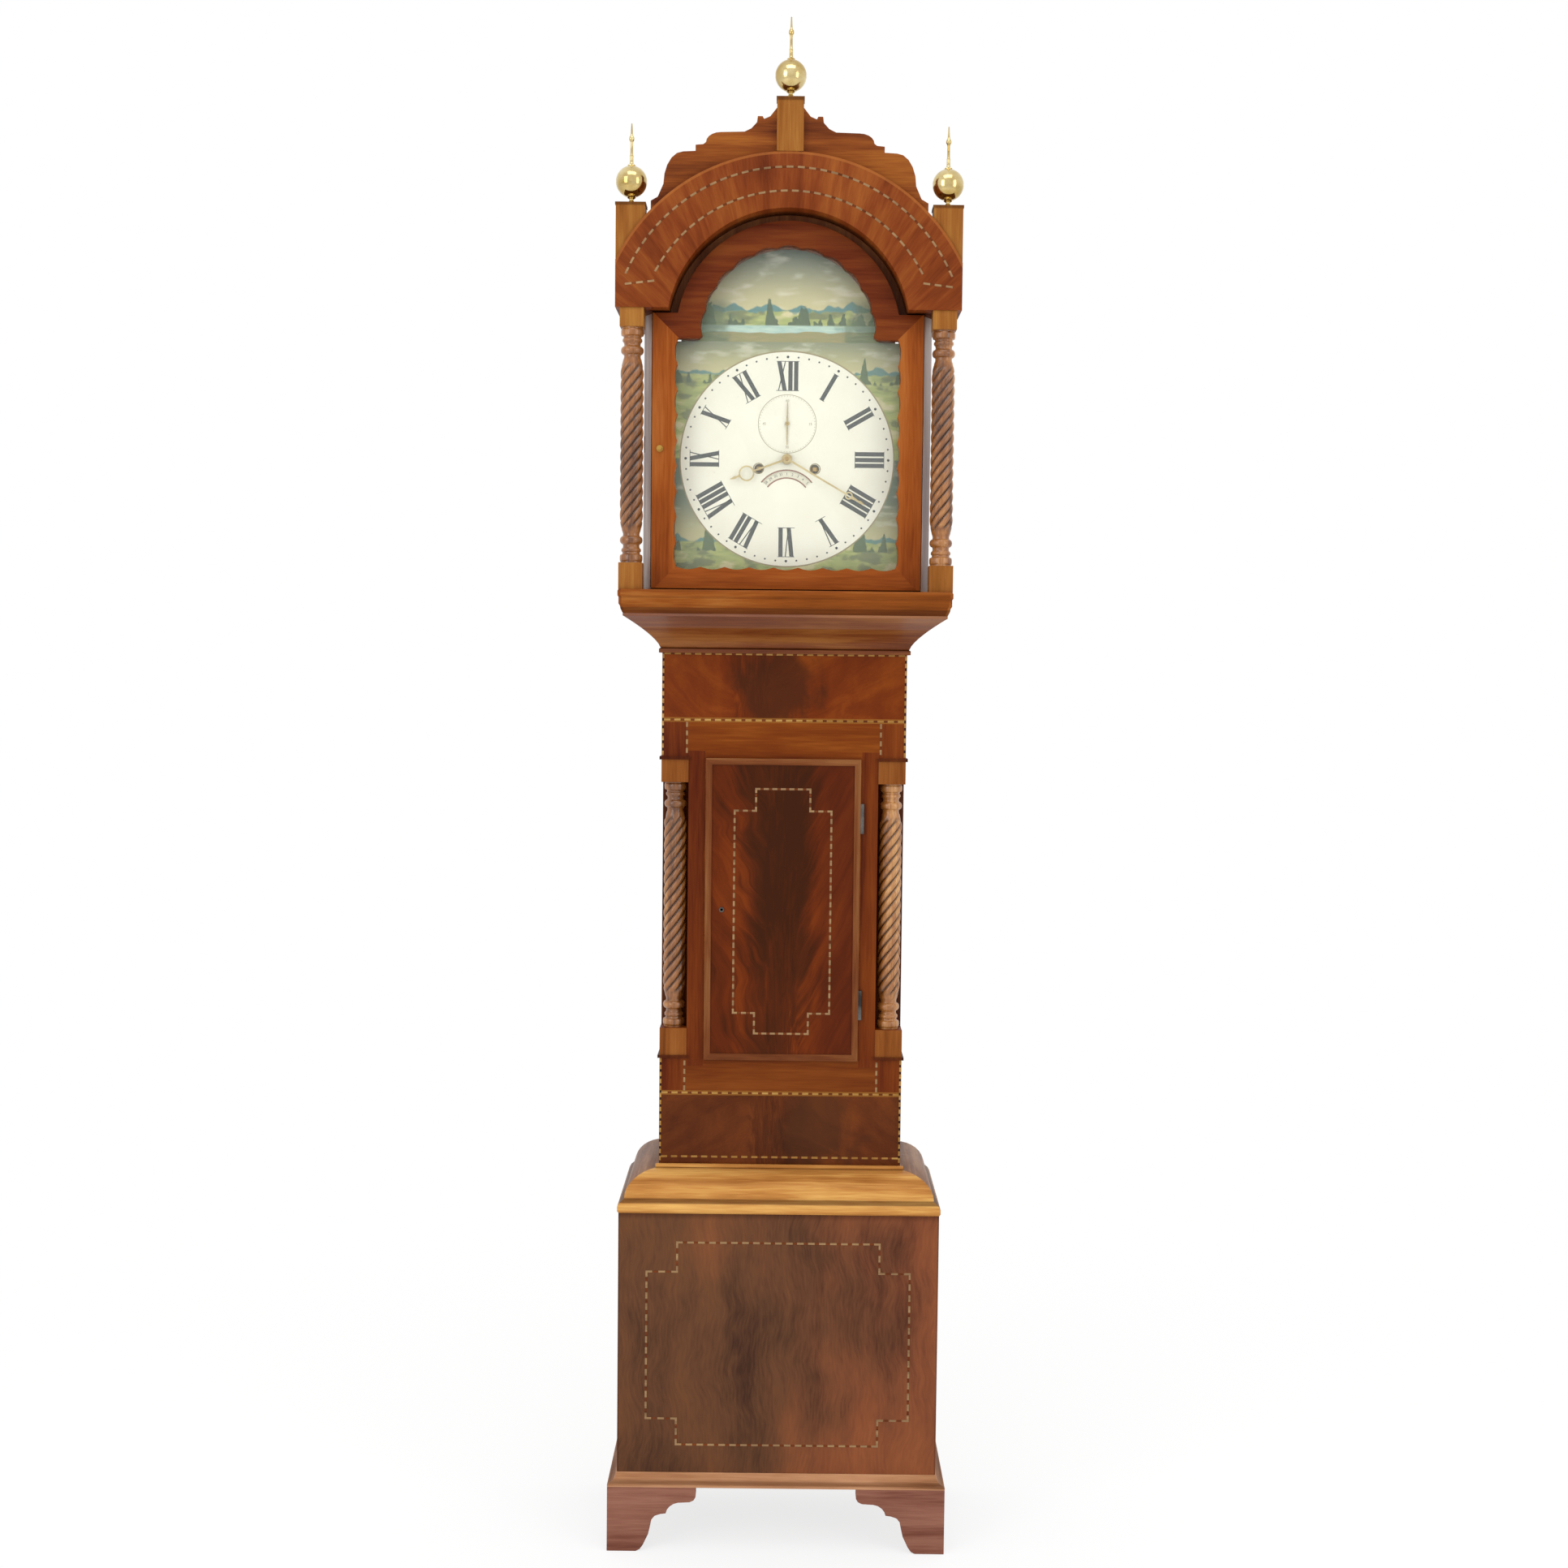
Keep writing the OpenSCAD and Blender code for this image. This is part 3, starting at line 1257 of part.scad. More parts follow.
module fly() color("gold") {
    arbor(fly_at, 1.3);
    pinion(fly_at, y_warning - 2, y_warning + 4, escape_pinion_n, warning_m, fly_pinion_phase);
    translate([fly_at[0] - 12, y_fly, dial_z + fly_at[1] - 0.5]) cube([24, 14, 1]);
}

// The hammer's arbor carries a tail by the pins and an arm up to the bell
module hammer() color("silver") {
    arbor(hammer_at);
    y0 = y_pin + wheel_t + 1;
    head = [bell_at[0] - bell_r - 9, bell_at[1] - 30];
    sheet(y0, y0 + 3, [0, 0], dial_z) {
        translate(hammer_at) circle(r = 4);
        polygon([hammer_at + [-2, 0], pin_at + [-20, 18], pin_at + [-16, 20], hammer_at + [2, 0]]);
    }
    sheet(y_gap0 + 42, y_gap0 + 45, [0, 0], dial_z) {
        translate(hammer_at) circle(r = 4);
        polygon([hammer_at + [-2, 0], hammer_at + [2, 0], head + [2, 0], head + [-2, 0]]);
    }
    translate([head[0] - 7, y_gap0 + 43.5, dial_z + head[1]]) rotate([0, 90, 0])
        cylinder(h = 14, r = 6);
}

// Front levers of the striking work

// A lever hub on its stud
module hub(at, y) difference() {
    children();
    bar(at, y - cut, y + lever_t + cut, 2 + running_fit);
}

module rack() color("silver") hub(rack_at, y_rack) {
    up = bearing(rack_at, gathering_at);
    sheet(y_rack, y_rack + lever_t, rack_at, dial_z) {
        circle(r = 5);
        rotate(up - 2) translate([0, -2.2]) square([rack_r - 4, 4.4]);
        rotate(up - rack_span / 2) polygon(concat(
            [for (i = [6:-1:0]) let (a = rack_span * i / 6) (rack_r - 8) * [cos(a), sin(a)]],
            [for (i = [0:rack_teeth - 1], e = [0, 0.9]) let (a = rack_span * (i + e) / rack_teeth)
                (rack_r - 2 * e) * [cos(a), sin(a)]]));
        rotate(41) polygon([[0, -2], [tail_len, -0.8], [tail_len, 0.8], [0, 2]]);
    }
}

module rack_hook() color("silver") hub(hook_at, y_rack) {
    sheet(y_rack, y_rack + lever_t, hook_at, dial_z) {
        circle(r = 4.5);
        polygon([[0, -2], [34, 4.8], [34, 8.8], [0, 2]]);
        polygon([[30, 6], [32.5, -21.5], [33.8, -21.5], [33.8, 6]]);
    }
}

module lifting_piece() color("silver") hub(lift_at, y_lift) {
    sheet(y_lift, y_lift + lever_t, lift_at, dial_z) {
        circle(r = 4.5);
        polygon([[-2, 0], [-21, -31], [-18, -31], [2, 0]]);
        polygon([[0, -2], [0, 2], [-60, 22], [-60, 18]]);
    }
}

backboard();
plinth_front_panel();
plinth_sides();
bracket_feet();
base_moulding();
waist_moulding();
trunk_sides();
trunk_front_frame();
trunk_columns();
throat_moulding();
seatboard();
front_plate();
back_plate();
bell();
dial_plate();
hood_base();
hood_carcass();
hood_blocks();
hood_columns();
hood_arch();
hood_crest();
finials();
hood_door_frame();
hood_door_glass();
hood_door_catch();
trunk_door();
trunk_door_fittings();
trunk_lock_bolt();
cannon_pinion();
minute_hand();
minute_wheel();
hour_wheel();
hour_hand();
calendar_disc();
escape_wheel();
seconds_hand();
third_wheel();
centre_wheel();
going_great_wheel();
going_barrel();
going_weight();
going_pulley();
going_line();
pallets();
pendulum_rod();
pendulum_bob();
rating_nut();
strike_great_wheel();
strike_barrel();
strike_weight();
strike_pulley();
strike_line();
pin_wheel();
gathering_wheel();
warning_wheel();
fly();
hammer();
rack();
rack_hook();
lifting_piece();
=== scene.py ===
# %% [markdown]
# # A longcase clock with rope columns
# The clock was built as solid parts first. This script loads those parts as a fixed
# frame, gives each one its finish, and adds what only the eye needs: rounded edges,
# rope columns, inlaid stringing, the painted dial and the light around the clock.
# All lengths are metres, the dial faces -Y and the floor is z = 0.

# %% Load the frame
import json
import math

import bmesh
import bpy
from mathutils import Matrix, Vector


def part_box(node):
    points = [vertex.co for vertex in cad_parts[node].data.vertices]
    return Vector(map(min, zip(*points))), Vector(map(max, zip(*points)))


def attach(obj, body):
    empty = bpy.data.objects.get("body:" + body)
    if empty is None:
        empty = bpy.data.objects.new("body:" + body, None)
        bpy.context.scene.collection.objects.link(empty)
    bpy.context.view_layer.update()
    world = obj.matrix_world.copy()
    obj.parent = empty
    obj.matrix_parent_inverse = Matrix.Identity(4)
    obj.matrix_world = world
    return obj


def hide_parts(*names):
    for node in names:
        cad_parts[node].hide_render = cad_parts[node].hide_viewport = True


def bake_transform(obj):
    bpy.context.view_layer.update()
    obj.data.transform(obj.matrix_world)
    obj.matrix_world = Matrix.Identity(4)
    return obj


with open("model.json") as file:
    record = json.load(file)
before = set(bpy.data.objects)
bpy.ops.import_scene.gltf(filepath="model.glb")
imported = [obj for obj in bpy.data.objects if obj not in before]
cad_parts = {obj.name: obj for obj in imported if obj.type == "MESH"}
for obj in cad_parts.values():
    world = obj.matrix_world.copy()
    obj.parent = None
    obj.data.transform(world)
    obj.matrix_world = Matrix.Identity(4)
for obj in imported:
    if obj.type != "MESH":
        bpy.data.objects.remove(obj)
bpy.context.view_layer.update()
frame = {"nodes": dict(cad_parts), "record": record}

MM = 0.001


def put(name, data):
    """An object with this data, in the scene."""
    made = bpy.data.objects.new(name, data)
    bpy.context.scene.collection.objects.link(made)
    return made


# %% [markdown]
# ## The camera
# A tall clock is photographed from well back with a long lens, so that its uprights stay
# nearly parallel. The camera stands at chest height, straight in front of the clock, and
# looks slightly down. Its turn is given as three angles, and these become the directions
# ahead, right and up, so that no order of rotations has to be remembered.

# %% Camera
SENSOR = 36.0
FOCAL_PIXELS = 2449.0
PICTURE_PIXELS = 1932.0


def aim_camera(place, yaw, pitch, roll):
    """A camera at a place, turned right by yaw, down by pitch and about its own line by roll."""
    yaw, pitch, roll = (math.radians(a) for a in (yaw, pitch, roll))
    ahead = Vector((math.sin(yaw) * math.cos(pitch), math.cos(yaw) * math.cos(pitch), -math.sin(pitch)))
    right = ahead.cross(Vector((0, 0, 1))).normalized()
    up = right.cross(ahead)
    turned_right = right * math.cos(roll) + up * math.sin(roll)
    turned_up = up * math.cos(roll) - right * math.sin(roll)
    lens = bpy.data.cameras.new("camera")
    lens.sensor_width = SENSOR
    lens.lens = FOCAL_PIXELS / PICTURE_PIXELS * SENSOR
    lens.clip_end = 100
    camera = put("camera", lens)
    turn = Matrix((turned_right, turned_up, -ahead)).transposed().to_4x4()
    camera.matrix_world = Matrix.Translation(place) @ turn
    return camera


bpy.context.scene.camera = aim_camera(Vector((0.0036, -3.132, 1.368)), -0.05, 3.354, 0.617)
print("lens", round(bpy.context.scene.camera.data.lens, 1), "mm")

# %% [markdown]
# ## Sums in shaders
# Shader maths is easier to read as sums than as rows of nodes. A Wire wraps one socket
# and overloads the usual operators, and a Bench adds any other node by its type, with its
# settings set first. The same Bench builds materials and geometry trees.


# %% Wires and benches
class Wire:
    """One output socket, which can stand in a sum."""

    def __init__(self, bench, socket):
        self.bench, self.socket = bench, socket

    def __add__(self, other): return self.bench.math("ADD", self, other)
    def __sub__(self, other): return self.bench.math("SUBTRACT", self, other)
    def __rsub__(self, other): return self.bench.math("SUBTRACT", other, self)
    def __mul__(self, other): return self.bench.math("MULTIPLY", self, other)
    def __truediv__(self, other): return self.bench.math("DIVIDE", self, other)
    def __gt__(self, other): return self.bench.math("GREATER_THAN", self, other)
    def __lt__(self, other): return self.bench.math("LESS_THAN", self, other)
    def __abs__(self): return self.bench.math("ABSOLUTE", self)


class Bench:
    """Adds nodes to one tree."""

    def __init__(self, tree):
        self.tree = tree

    def node(self, kind, settings=None, inputs=(), output=0):
        made = self.tree.nodes.new(kind)
        for name, value in (settings or {}).items():
            if name == "stops":
                ramp = made.color_ramp.elements
                while len(ramp) < len(value):
                    ramp.new(0.5)
                for stop, (at, colour) in zip(ramp, value):
                    stop.position, stop.color = at, colour
            else:
                setattr(made, name, value)
        pairs = inputs.items() if isinstance(inputs, dict) else enumerate(inputs)
        for name, value in pairs:
            if isinstance(value, Wire):
                self.tree.links.new(value.socket, made.inputs[name])
            else:
                made.inputs[name].default_value = value
        if isinstance(output, tuple):
            return [Wire(self, made.outputs[o]) for o in output]
        return Wire(self, made.outputs[output]) if made.outputs else None

    def math(self, operation, *values):
        return self.node("ShaderNodeMath", {"operation": operation}, values)

    def point(self, x, y, z):
        return self.node("ShaderNodeCombineXYZ", {}, [x, y, z])

    def distance(self, first, second=(0, 0, 0)):
        return self.node("ShaderNodeVectorMath", {"operation": "DISTANCE"}, [first, second], 1)

    def ease(self, value, low, high):
        """0 below low, 1 above high, and smooth between them."""
        return self.node("ShaderNodeMapRange", {"interpolation_type": "SMOOTHSTEP"},
                         {"Value": value, "From Min": low, "From Max": high})

    def blend(self, share, first, second):
        """A share of the second colour over the first; each is a wire or a hex code."""
        first, second = (tone(c) if isinstance(c, str) else c for c in (first, second))
        return self.node("ShaderNodeMix", {"data_type": "RGBA"}, {0: share, 6: first, 7: second}, 2)

    def ramp(self, value, places, codes):
        """A colour for a value: hex codes stand at places, and run into each other between."""
        stops = [(place, tone(code)) for place, code in zip(places, codes)]
        return self.node("ShaderNodeValToRGB", {"stops": stops}, [value])

    def noise(self, place, scale, detail=2.0, roughness=0.5, distortion=0.0):
        return self.node("ShaderNodeTexNoise", {}, {"Vector": place, "Scale": scale, "Detail": detail,
                                                     "Roughness": roughness, "Distortion": distortion})

    def stretch(self, place, scale, shift=(0, 0, 0)):
        return self.node("ShaderNodeMapping", {}, {"Vector": place, "Location": shift, "Scale": scale})


def tone(code):
    """A colour as shaders want it, from the hex code that a picture editor shows."""
    parts = [int(code[i:i + 2], 16) / 255 for i in (0, 2, 4)]
    return tuple(p / 12.92 if p <= 0.04045 else ((p + 0.055) / 1.055) ** 2.4 for p in parts) + (1.0,)


def own_bench(data):
    """A bench on the emptied tree of a material or a world."""
    data.use_nodes = True
    data.node_tree.nodes.clear()
    return Bench(data.node_tree)


def start_finish(name):
    """A new material: its bench, the object's coordinates, and these as three numbers."""
    material = bpy.data.materials.new(name)
    bench = own_bench(material)
    place = bench.node("ShaderNodeTexCoord", output=3)
    x, y, z = bench.node("ShaderNodeSeparateXYZ", {}, [place], (0, 1, 2))
    return material, bench, place, x, y, z


def end_finish(bench, colour, roughness, height=None, relief=0.0, **fixed):
    """The surface shader. Height is a bump, and fixed values go on the shader's own sockets."""
    inputs = {"Base Color": colour, "Roughness": roughness}
    inputs.update({name.replace("_", " "): value for name, value in fixed.items()})
    if height is not None:
        inputs["Normal"] = bench.node("ShaderNodeBump", {}, {"Strength": 0.5, "Distance": relief,
                                                             "Height": height})
    surface = bench.node("ShaderNodeBsdfPrincipled", {}, inputs)
    bench.node("ShaderNodeOutputMaterial", {}, {"Surface": surface})


print("a mid brown is", [round(v, 3) for v in tone("8a4513")])

# %% [markdown]
# ## Mahogany
# The case is veneered in mahogany: straight-grained on rails and mouldings, with a dark
# flame on the door and panels. Real grain is streaks many times longer than they are wide,
# so the texture is squeezed along the run of the board. One board's grain is made by
# grain(), and a finish joins boards of different runs, with the mitres that a joiner cuts.

# %% Grain of one board
LONG = 0.06
RUNS = {"x": (LONG, 1, 1), "y": (1, LONG, 1), "z": (1, 1, LONG)}


def grain(bench, place, run, tones, seed, streak=34.0):
    """Colour of a straight-grained board, and how open its pores are."""
    along = bench.stretch(place, RUNS[run], (seed * 1.7, seed * 2.3, seed * 0.9))
    broad = bench.noise(along, streak, 4.0, 0.55, 0.7)
    fine = bench.noise(along, streak * 11, 2.0)
    cloud = bench.noise(bench.stretch(place, (1, 1, 1), (seed, 0, seed * 3)), 5.5, 2.0)
    value = broad * 0.62 + fine * 0.2 + cloud * 0.26
    return bench.ramp(value, (0.38, 0.53, 0.68), tones), fine


def mitre(bench, x, y, half, front):
    """1 on the side run of a moulding, 0 on its front run; half and front are the case's faces."""
    return bench.ease(abs(x) - half - (front - y), -0.0004, 0.0004)


def polished(bench, colour, fine, gloss=0.3, shine=0.06):
    """French polish over open grain: a thin clear coat on a satin wood."""
    end_finish(bench, colour, fine * 0.22 + (gloss - 0.02), fine, 0.00012, Specular_IOR_Level=shine,
               Coat_Weight=shine * 0.4, Coat_Roughness=0.12)


def straight_wood(name, run, tones, seed, corner=None, shade_and_highlight_bands=(), streak=34.0, gloss=0.3, shine=0.06,
                  shaded_side_tones=None):
    """A finish of one run; corner is (half width, front face) of a moulding's mitres,
    side tones, where given, darken its side run as painted shade, and the bands are
    (low, high, share, colour) bands of height that hold painted shade lines and painted highlights."""
    material, bench, place, x, y, z = start_finish(name)
    colour, fine = grain(bench, place, run, tones, seed, streak)
    if corner:
        side, _ = grain(bench, place, "y", shaded_side_tones or tones, seed + 3, streak)
        on_side = mitre(bench, x, y, *corner)
        colour = bench.blend(on_side, colour, side)
    for low, high, share, paint in shade_and_highlight_bands:
        band = bench.ease(z, low, low + 0.002) * (1 - bench.ease(z, high - 0.002, high)) * share
        colour = bench.blend(band, colour, paint)
    polished(bench, colour, fine, gloss, shine)
    return material


REDDISH = ("50220e", "7c4018", "985a22")
# The dark brown of painted shade: shadow lines at mouldings and caps, and shade in recesses.
SHADE_BROWN = "2a0f05"
GOLDEN = ("8a5220", "b57c3e", "d6a55c")
PINKISH = ("5c3125", "7f5142", "946654")

wood_feet = straight_wood("mahogany_feet", "x", PINKISH, 2.0, (0.261, -0.130))
# Base moulding: a painted highlight on its bead, and a painted shade line under the bead.
wood_base = straight_wood("mahogany_base_moulding", "x", ("74482c", "9a6a48", "b48460"), 3.0, (0.25, -0.116),
                          [(0.100, 0.104, 0.5, "c09070"), (0.104, 0.110, 0.3, SHADE_BROWN)])
# Waist moulding: painted shade lines at its fillets, and darker side tones as painted shade on its side run.
wood_waist = straight_wood("mahogany_waist_moulding", "x", GOLDEN, 4.0, (0.1895, -0.058),
                           [(0.541, 0.549, 0.6, SHADE_BROWN), (0.584, 0.587, 0.7, SHADE_BROWN)],
                           shaded_side_tones=("5c3a28", "80583c", "a07a58"))
# Throat: a painted shade line at its foot and a pale painted highlight band at its top.
wood_throat = straight_wood("mahogany_throat", "x", ("4d2008", "6a3410", "8a5424"), 5.0, (0.1895, -0.058),
                            [(1.394, 1.398, 0.7, SHADE_BROWN), (1.426, 1.449, 0.15, "a8887c")], shine=0.2)
# Hood base: painted shade in the reveal along its foot, and a painted shade line above it.
wood_hood_base = straight_wood("mahogany_hood_base", "x", ("643007", "834414", "a1662d"), 6.0,
                               (0.2475, -0.121), [(1.446, 1.458, 0.5, SHADE_BROWN), (1.470, 1.473, 0.3, SHADE_BROWN)])
# Blocks: painted shade lines at their caps.
wood_blocks = straight_wood("mahogany_blocks", "z", ("6d3e11", "8b5523", "9f6d31"), 7.0,
                            shade_and_highlight_bands=[(2.056, 2.063, 0.6, SHADE_BROWN), (2.211, 2.219, 0.6, SHADE_BROWN)])
wood_crest = straight_wood("mahogany_crest", "x", REDDISH, 10.0)
wood_pine = straight_wood("pine_boards", "z", ("8c6a40", "a98455", "bf9c6a"), 11.0, streak=18.0, gloss=0.6)


def side_finish():
    """Upright boards, with painted shade where they stand behind a column."""
    material, bench, place, _, y, z = start_finish("mahogany_side")
    board, fine = grain(bench, place, "z", ("5c2a12", "7c4020", "94562c"), 8.0)
    # Painted shade on the boards' edges in the recess behind each column.
    behind = (y < -0.0145) * (z > 0.762) * (z < 1.225)
    polished(bench, bench.blend(behind * 0.75, board, SHADE_BROWN), fine)
    return material


def column_finish(name, across, front, foot, head, seed):
    """Strands of straight grain, with painted shade in the grooves between them."""
    material, bench, place, x, y, z = start_finish(name)
    colour, fine = grain(bench, place, "z", ("4e280c", "925a26", "c89458"), seed)
    away = bench.distance(bench.point(abs(x) - across, y - front, 0.0))
    carved = bench.ease(z, foot + 0.05, foot + 0.06) * (1 - bench.ease(z, head - 0.06, head - 0.05))
    # Painted shade in the grooves of the carved length.
    groove_shade = (1 - bench.ease(away, 0.0136, 0.0168)) * carved
    colour = bench.blend(groove_shade * 0.95, colour, "220d05")
    polished(bench, colour, fine, 0.24, 0.55)
    return material


wood_side = side_finish()
print(len(bpy.data.materials), "finishes so far")

# %% [markdown]
# ## Flame veneer
# Flame mahogany is cut where the trunk forks. A dark plume climbs the middle of the sheet
# and feathers curl out of it to both sides. The feathers are streaks along curves of equal
# height minus a share of the distance from the plume, and a slow noise keeps the two
# sides from being twins.

# %% Flame veneer


def flame(bench, place, x, z, tones, centre, spread, lift, seed, depth):
    """Colour of a flame veneer with its plume at x = centre."""
    wander = bench.noise(bench.stretch(place, (0.35, 1, 1), (seed, 0, 0)), 6.0, 3.0) - 0.5
    away = abs(x - centre + wander * 0.1)
    feather_height = z - away * lift + wander * 0.08
    sides = bench.ease(x - centre, -0.03, 0.03) * 0.4 + seed
    feather_place = bench.point(away * 0.5, sides, feather_height)
    feathers = bench.noise(feather_place, 24.0, 4.0, 0.6, 0.9)
    fine = bench.noise(bench.stretch(feather_place, (1, 1, 0.9)), 420.0, 2.0)
    clouds = bench.noise(bench.stretch(place, (1.4, 1, 0.55), (0, 0, seed)), 9.0, 3.0)
    ragged = (feathers - 0.5) * 0.09 + (clouds - 0.5) * 0.06
    plume = 1 - bench.ease(away + ragged, spread * 0.5, spread * 1.5)
    value = feathers * 0.4 + clouds * 0.5 + fine * 0.1 - plume * (depth * 0.3)
    colour = bench.ramp(value, (0.3, 0.5, 0.7), tones)
    return bench.blend(plume * depth, colour, "3c1c08"), fine


def blot(bench, place, x, z, middle, reach, seed):
    """1 inside a ragged dark patch about a point of the front, 0 outside."""
    away = bench.distance(bench.point((x - middle[0]) / reach[0], 0.0, (z - middle[1]) / reach[1]))
    ragged = bench.noise(bench.stretch(place, (1, 1, 0.6), (seed, 0, 0)), 18.0, 4.0, 0.6, 0.6)
    return 1 - bench.ease(away + (ragged - 0.5) * 2.2, 0.55, 1.25)


def plinth_finish():
    """A quiet sheet: dark wavering streaks that climb, and redder wood towards the right."""
    material, bench, place, x, y, z = start_finish("figured_mahogany_plinth")
    sway = bench.noise(bench.stretch(place, (0.6, 1, 1)), 7.0, 2.0) - 0.5
    streaks_at = bench.point(x + sway * 0.07, y, z * 0.15)
    streaks = bench.noise(streaks_at, 26.0, 4.0, 0.6, 0.7)
    fine = bench.noise(streaks_at, 300.0, 2.0)
    clouds = bench.noise(bench.stretch(place, (1, 1, 0.6)), 6.5, 3.0)
    value = streaks * 0.26 + clouds * 0.5 + fine * 0.16 + 0.055
    brown, red = (bench.ramp(value, (0.38, 0.5, 0.64), tones)
                  for tones in (("3e261a", "5b3a26", "70462a"), ("55281a", "784229", "8e5030")))
    redder = bench.ease(x + (clouds - 0.5) * 0.9, -0.1, 0.25) * 0.8
    colour = bench.blend(redder, brown, red)
    # Painted shade: darker along both side edges of the panel and under the waist moulding.
    edge_shade = bench.ease(abs(x), 0.2435, 0.2465) + bench.ease(z, 0.516, 0.527)
    polished(bench, bench.blend(edge_shade * 0.45, colour, SHADE_BROWN), fine)
    return material


wood_plinth = plinth_finish()


RAIL_MIDDLES = (0.703, 1.286)
ZONE_FOOT, ZONE_HEAD = 0.745, 1.238
DOOR_EDGE = 0.1215
CORNER_EDGE = 0.150
TRUNK_EDGE = 0.1895


def trunk_front_finish():
    """Crotch panels at the top and foot, straight rails and stiles, golden blocks."""
    material, bench, place, x, y, z = start_finish("flame_mahogany_trunk_front")
    panel, fine = flame(bench, place, x, z, ("461904", "692b08", "86410f"), -0.05, 0.02, 0.5, 2.0, 0.1)
    dark_heart = blot(bench, place, x, z, (-0.01, 1.34), (0.06, 0.07), 3.0)
    panel = bench.blend(dark_heart * 0.75, panel, "3c1c0a")
    low_panel, _ = flame(bench, place, x, z, ("371607", "582a10", "733a16"), -0.02, 0.02, -0.5, 9.0, 0.1)
    low_heart = blot(bench, place, x, z, (0.05, 0.65), (0.06, 0.09), 5.0)
    low_panel = bench.blend(low_heart * 0.6, low_panel, "3c2212")
    rail, _ = grain(bench, place, "x", ("572105", "6e3208", "864613"), 12.0)
    stile, _ = grain(bench, place, "z", ("4a1805", "642a09", "783a0f"), 13.0)
    block, _ = grain(bench, place, "z", ("5e2f0c", "7a4318", "8c5525"), 14.0)
    colour = bench.blend(z > 0.9, low_panel, panel)
    on_rails = (z > RAIL_MIDDLES[0] - 0.0015) * (z < RAIL_MIDDLES[1] + 0.0015)
    rail = bench.blend((z < 0.9) * 0.3, rail, "40180a")
    colour = bench.blend(on_rails, colour, rail)
    on_corner = on_rails * (abs(x) > CORNER_EDGE)
    colour = bench.blend(on_corner, colour, stile)
    on_stile = (z > ZONE_FOOT) * (z < ZONE_HEAD) * (abs(x) > DOOR_EDGE)
    colour = bench.blend(on_stile, colour, stile)
    on_block = (y < -0.0595) * (abs(x) > CORNER_EDGE - 0.003) * (z > 0.7625) * (z < 1.2245)
    colour = bench.blend(on_block, colour, block)
    # Painted shade on the tabs and on the edges where the front turns to the sides.
    tab_and_edge_shade = (y < -0.0607) + (abs(x) > TRUNK_EDGE)
    colour = bench.blend(tab_and_edge_shade * 0.5, colour, SHADE_BROWN)
    for middle in RAIL_MIDDLES:
        on_band = (abs(z - middle) < 0.0036) * (y < -0.0575) * 0.7
        colour = bench.blend(on_band, colour, "8a5a24")
    polished(bench, colour, fine)
    return material


wood_trunk_front = trunk_front_finish()


PANEL_HALF_WIDTH, PANEL_HALF_HEIGHT, PANEL_MIDDLE = 0.1105, 0.2255, 0.9915


def trunk_door_finish():
    """A flame panel inside a paler lip of straight grain."""
    material, bench, place, x, _, z = start_finish("flame_mahogany_door")
    panel, fine = flame(bench, place, x, z, ("351403", "5b2306", "7a350c"), 0.0, 0.05, 2.0, 4.0, 0.42)
    upright, across = (grain(bench, place, run, ("4d220c", "6c3b1e", "865832"), seed)[0]
                       for run, seed in (("z", 15.0), ("x", 16.0)))
    past_side = abs(x) - PANEL_HALF_WIDTH
    past_end = abs(z - PANEL_MIDDLE) - PANEL_HALF_HEIGHT
    lip = bench.blend(past_end > past_side, upright, across)
    on_lip = bench.ease(bench.math("MAXIMUM", past_side, past_end), -0.0004, 0.0004)
    panel = bench.blend(bench.ease(x, 0.03, 0.085) * 0.45, panel, "401406")
    polished(bench, bench.blend(on_lip, panel, lip), fine)
    return material


wood_trunk_door = trunk_door_finish()


ARCH_FACE, ARCH_MIDDLE, FAN_MIDDLE = -0.118, 1.8474, 1.72


def arch_finish():
    """Veneer laid with its grain standing upright on the arch, turning out towards the ends, with a painted
    highlight along the outer edge and painted shade under the arch.
    """
    material, bench, place, x, y, z = start_finish("mahogany_arch")
    reach = bench.math("ARCTAN2", x, z - FAN_MIDDLE)
    rise = bench.distance(place, (0, ARCH_FACE, FAN_MIDDLE))
    fan = bench.point(reach * 0.33, 0.5, rise * 0.11)
    broad = bench.noise(fan, 46.0, 4.0, 0.6, 0.5)
    fine = bench.noise(fan, 420.0, 2.0)
    cloud = bench.noise(place, 8.0, 2.0)
    colour = bench.ramp(broad * 0.6 + fine * 0.15 + cloud * 0.3, (0.34, 0.52, 0.7),
                        ("4f1d07", "753614", "8f4f20"))
    # Painted highlight along the arch's moulded outer edge.
    rim = bench.distance(place, (0, ARCH_FACE, ARCH_MIDDLE))
    colour = bench.blend(bench.ease(rim, 0.2855, 0.2862) * 0.5, colour, "a0602c")
    # Painted shade on the soffit and the faces set back behind the arch front.
    under = bench.ease(y, -0.095, -0.09)
    colour = bench.blend(under * 0.55, colour, SHADE_BROWN)
    polished(bench, colour, fine)
    return material


wood_arch = arch_finish()


LIGHT_HALF_WIDTH, LIGHT_FOOT, LIGHT_SHOULDER = 0.1675, 1.520, 1.866


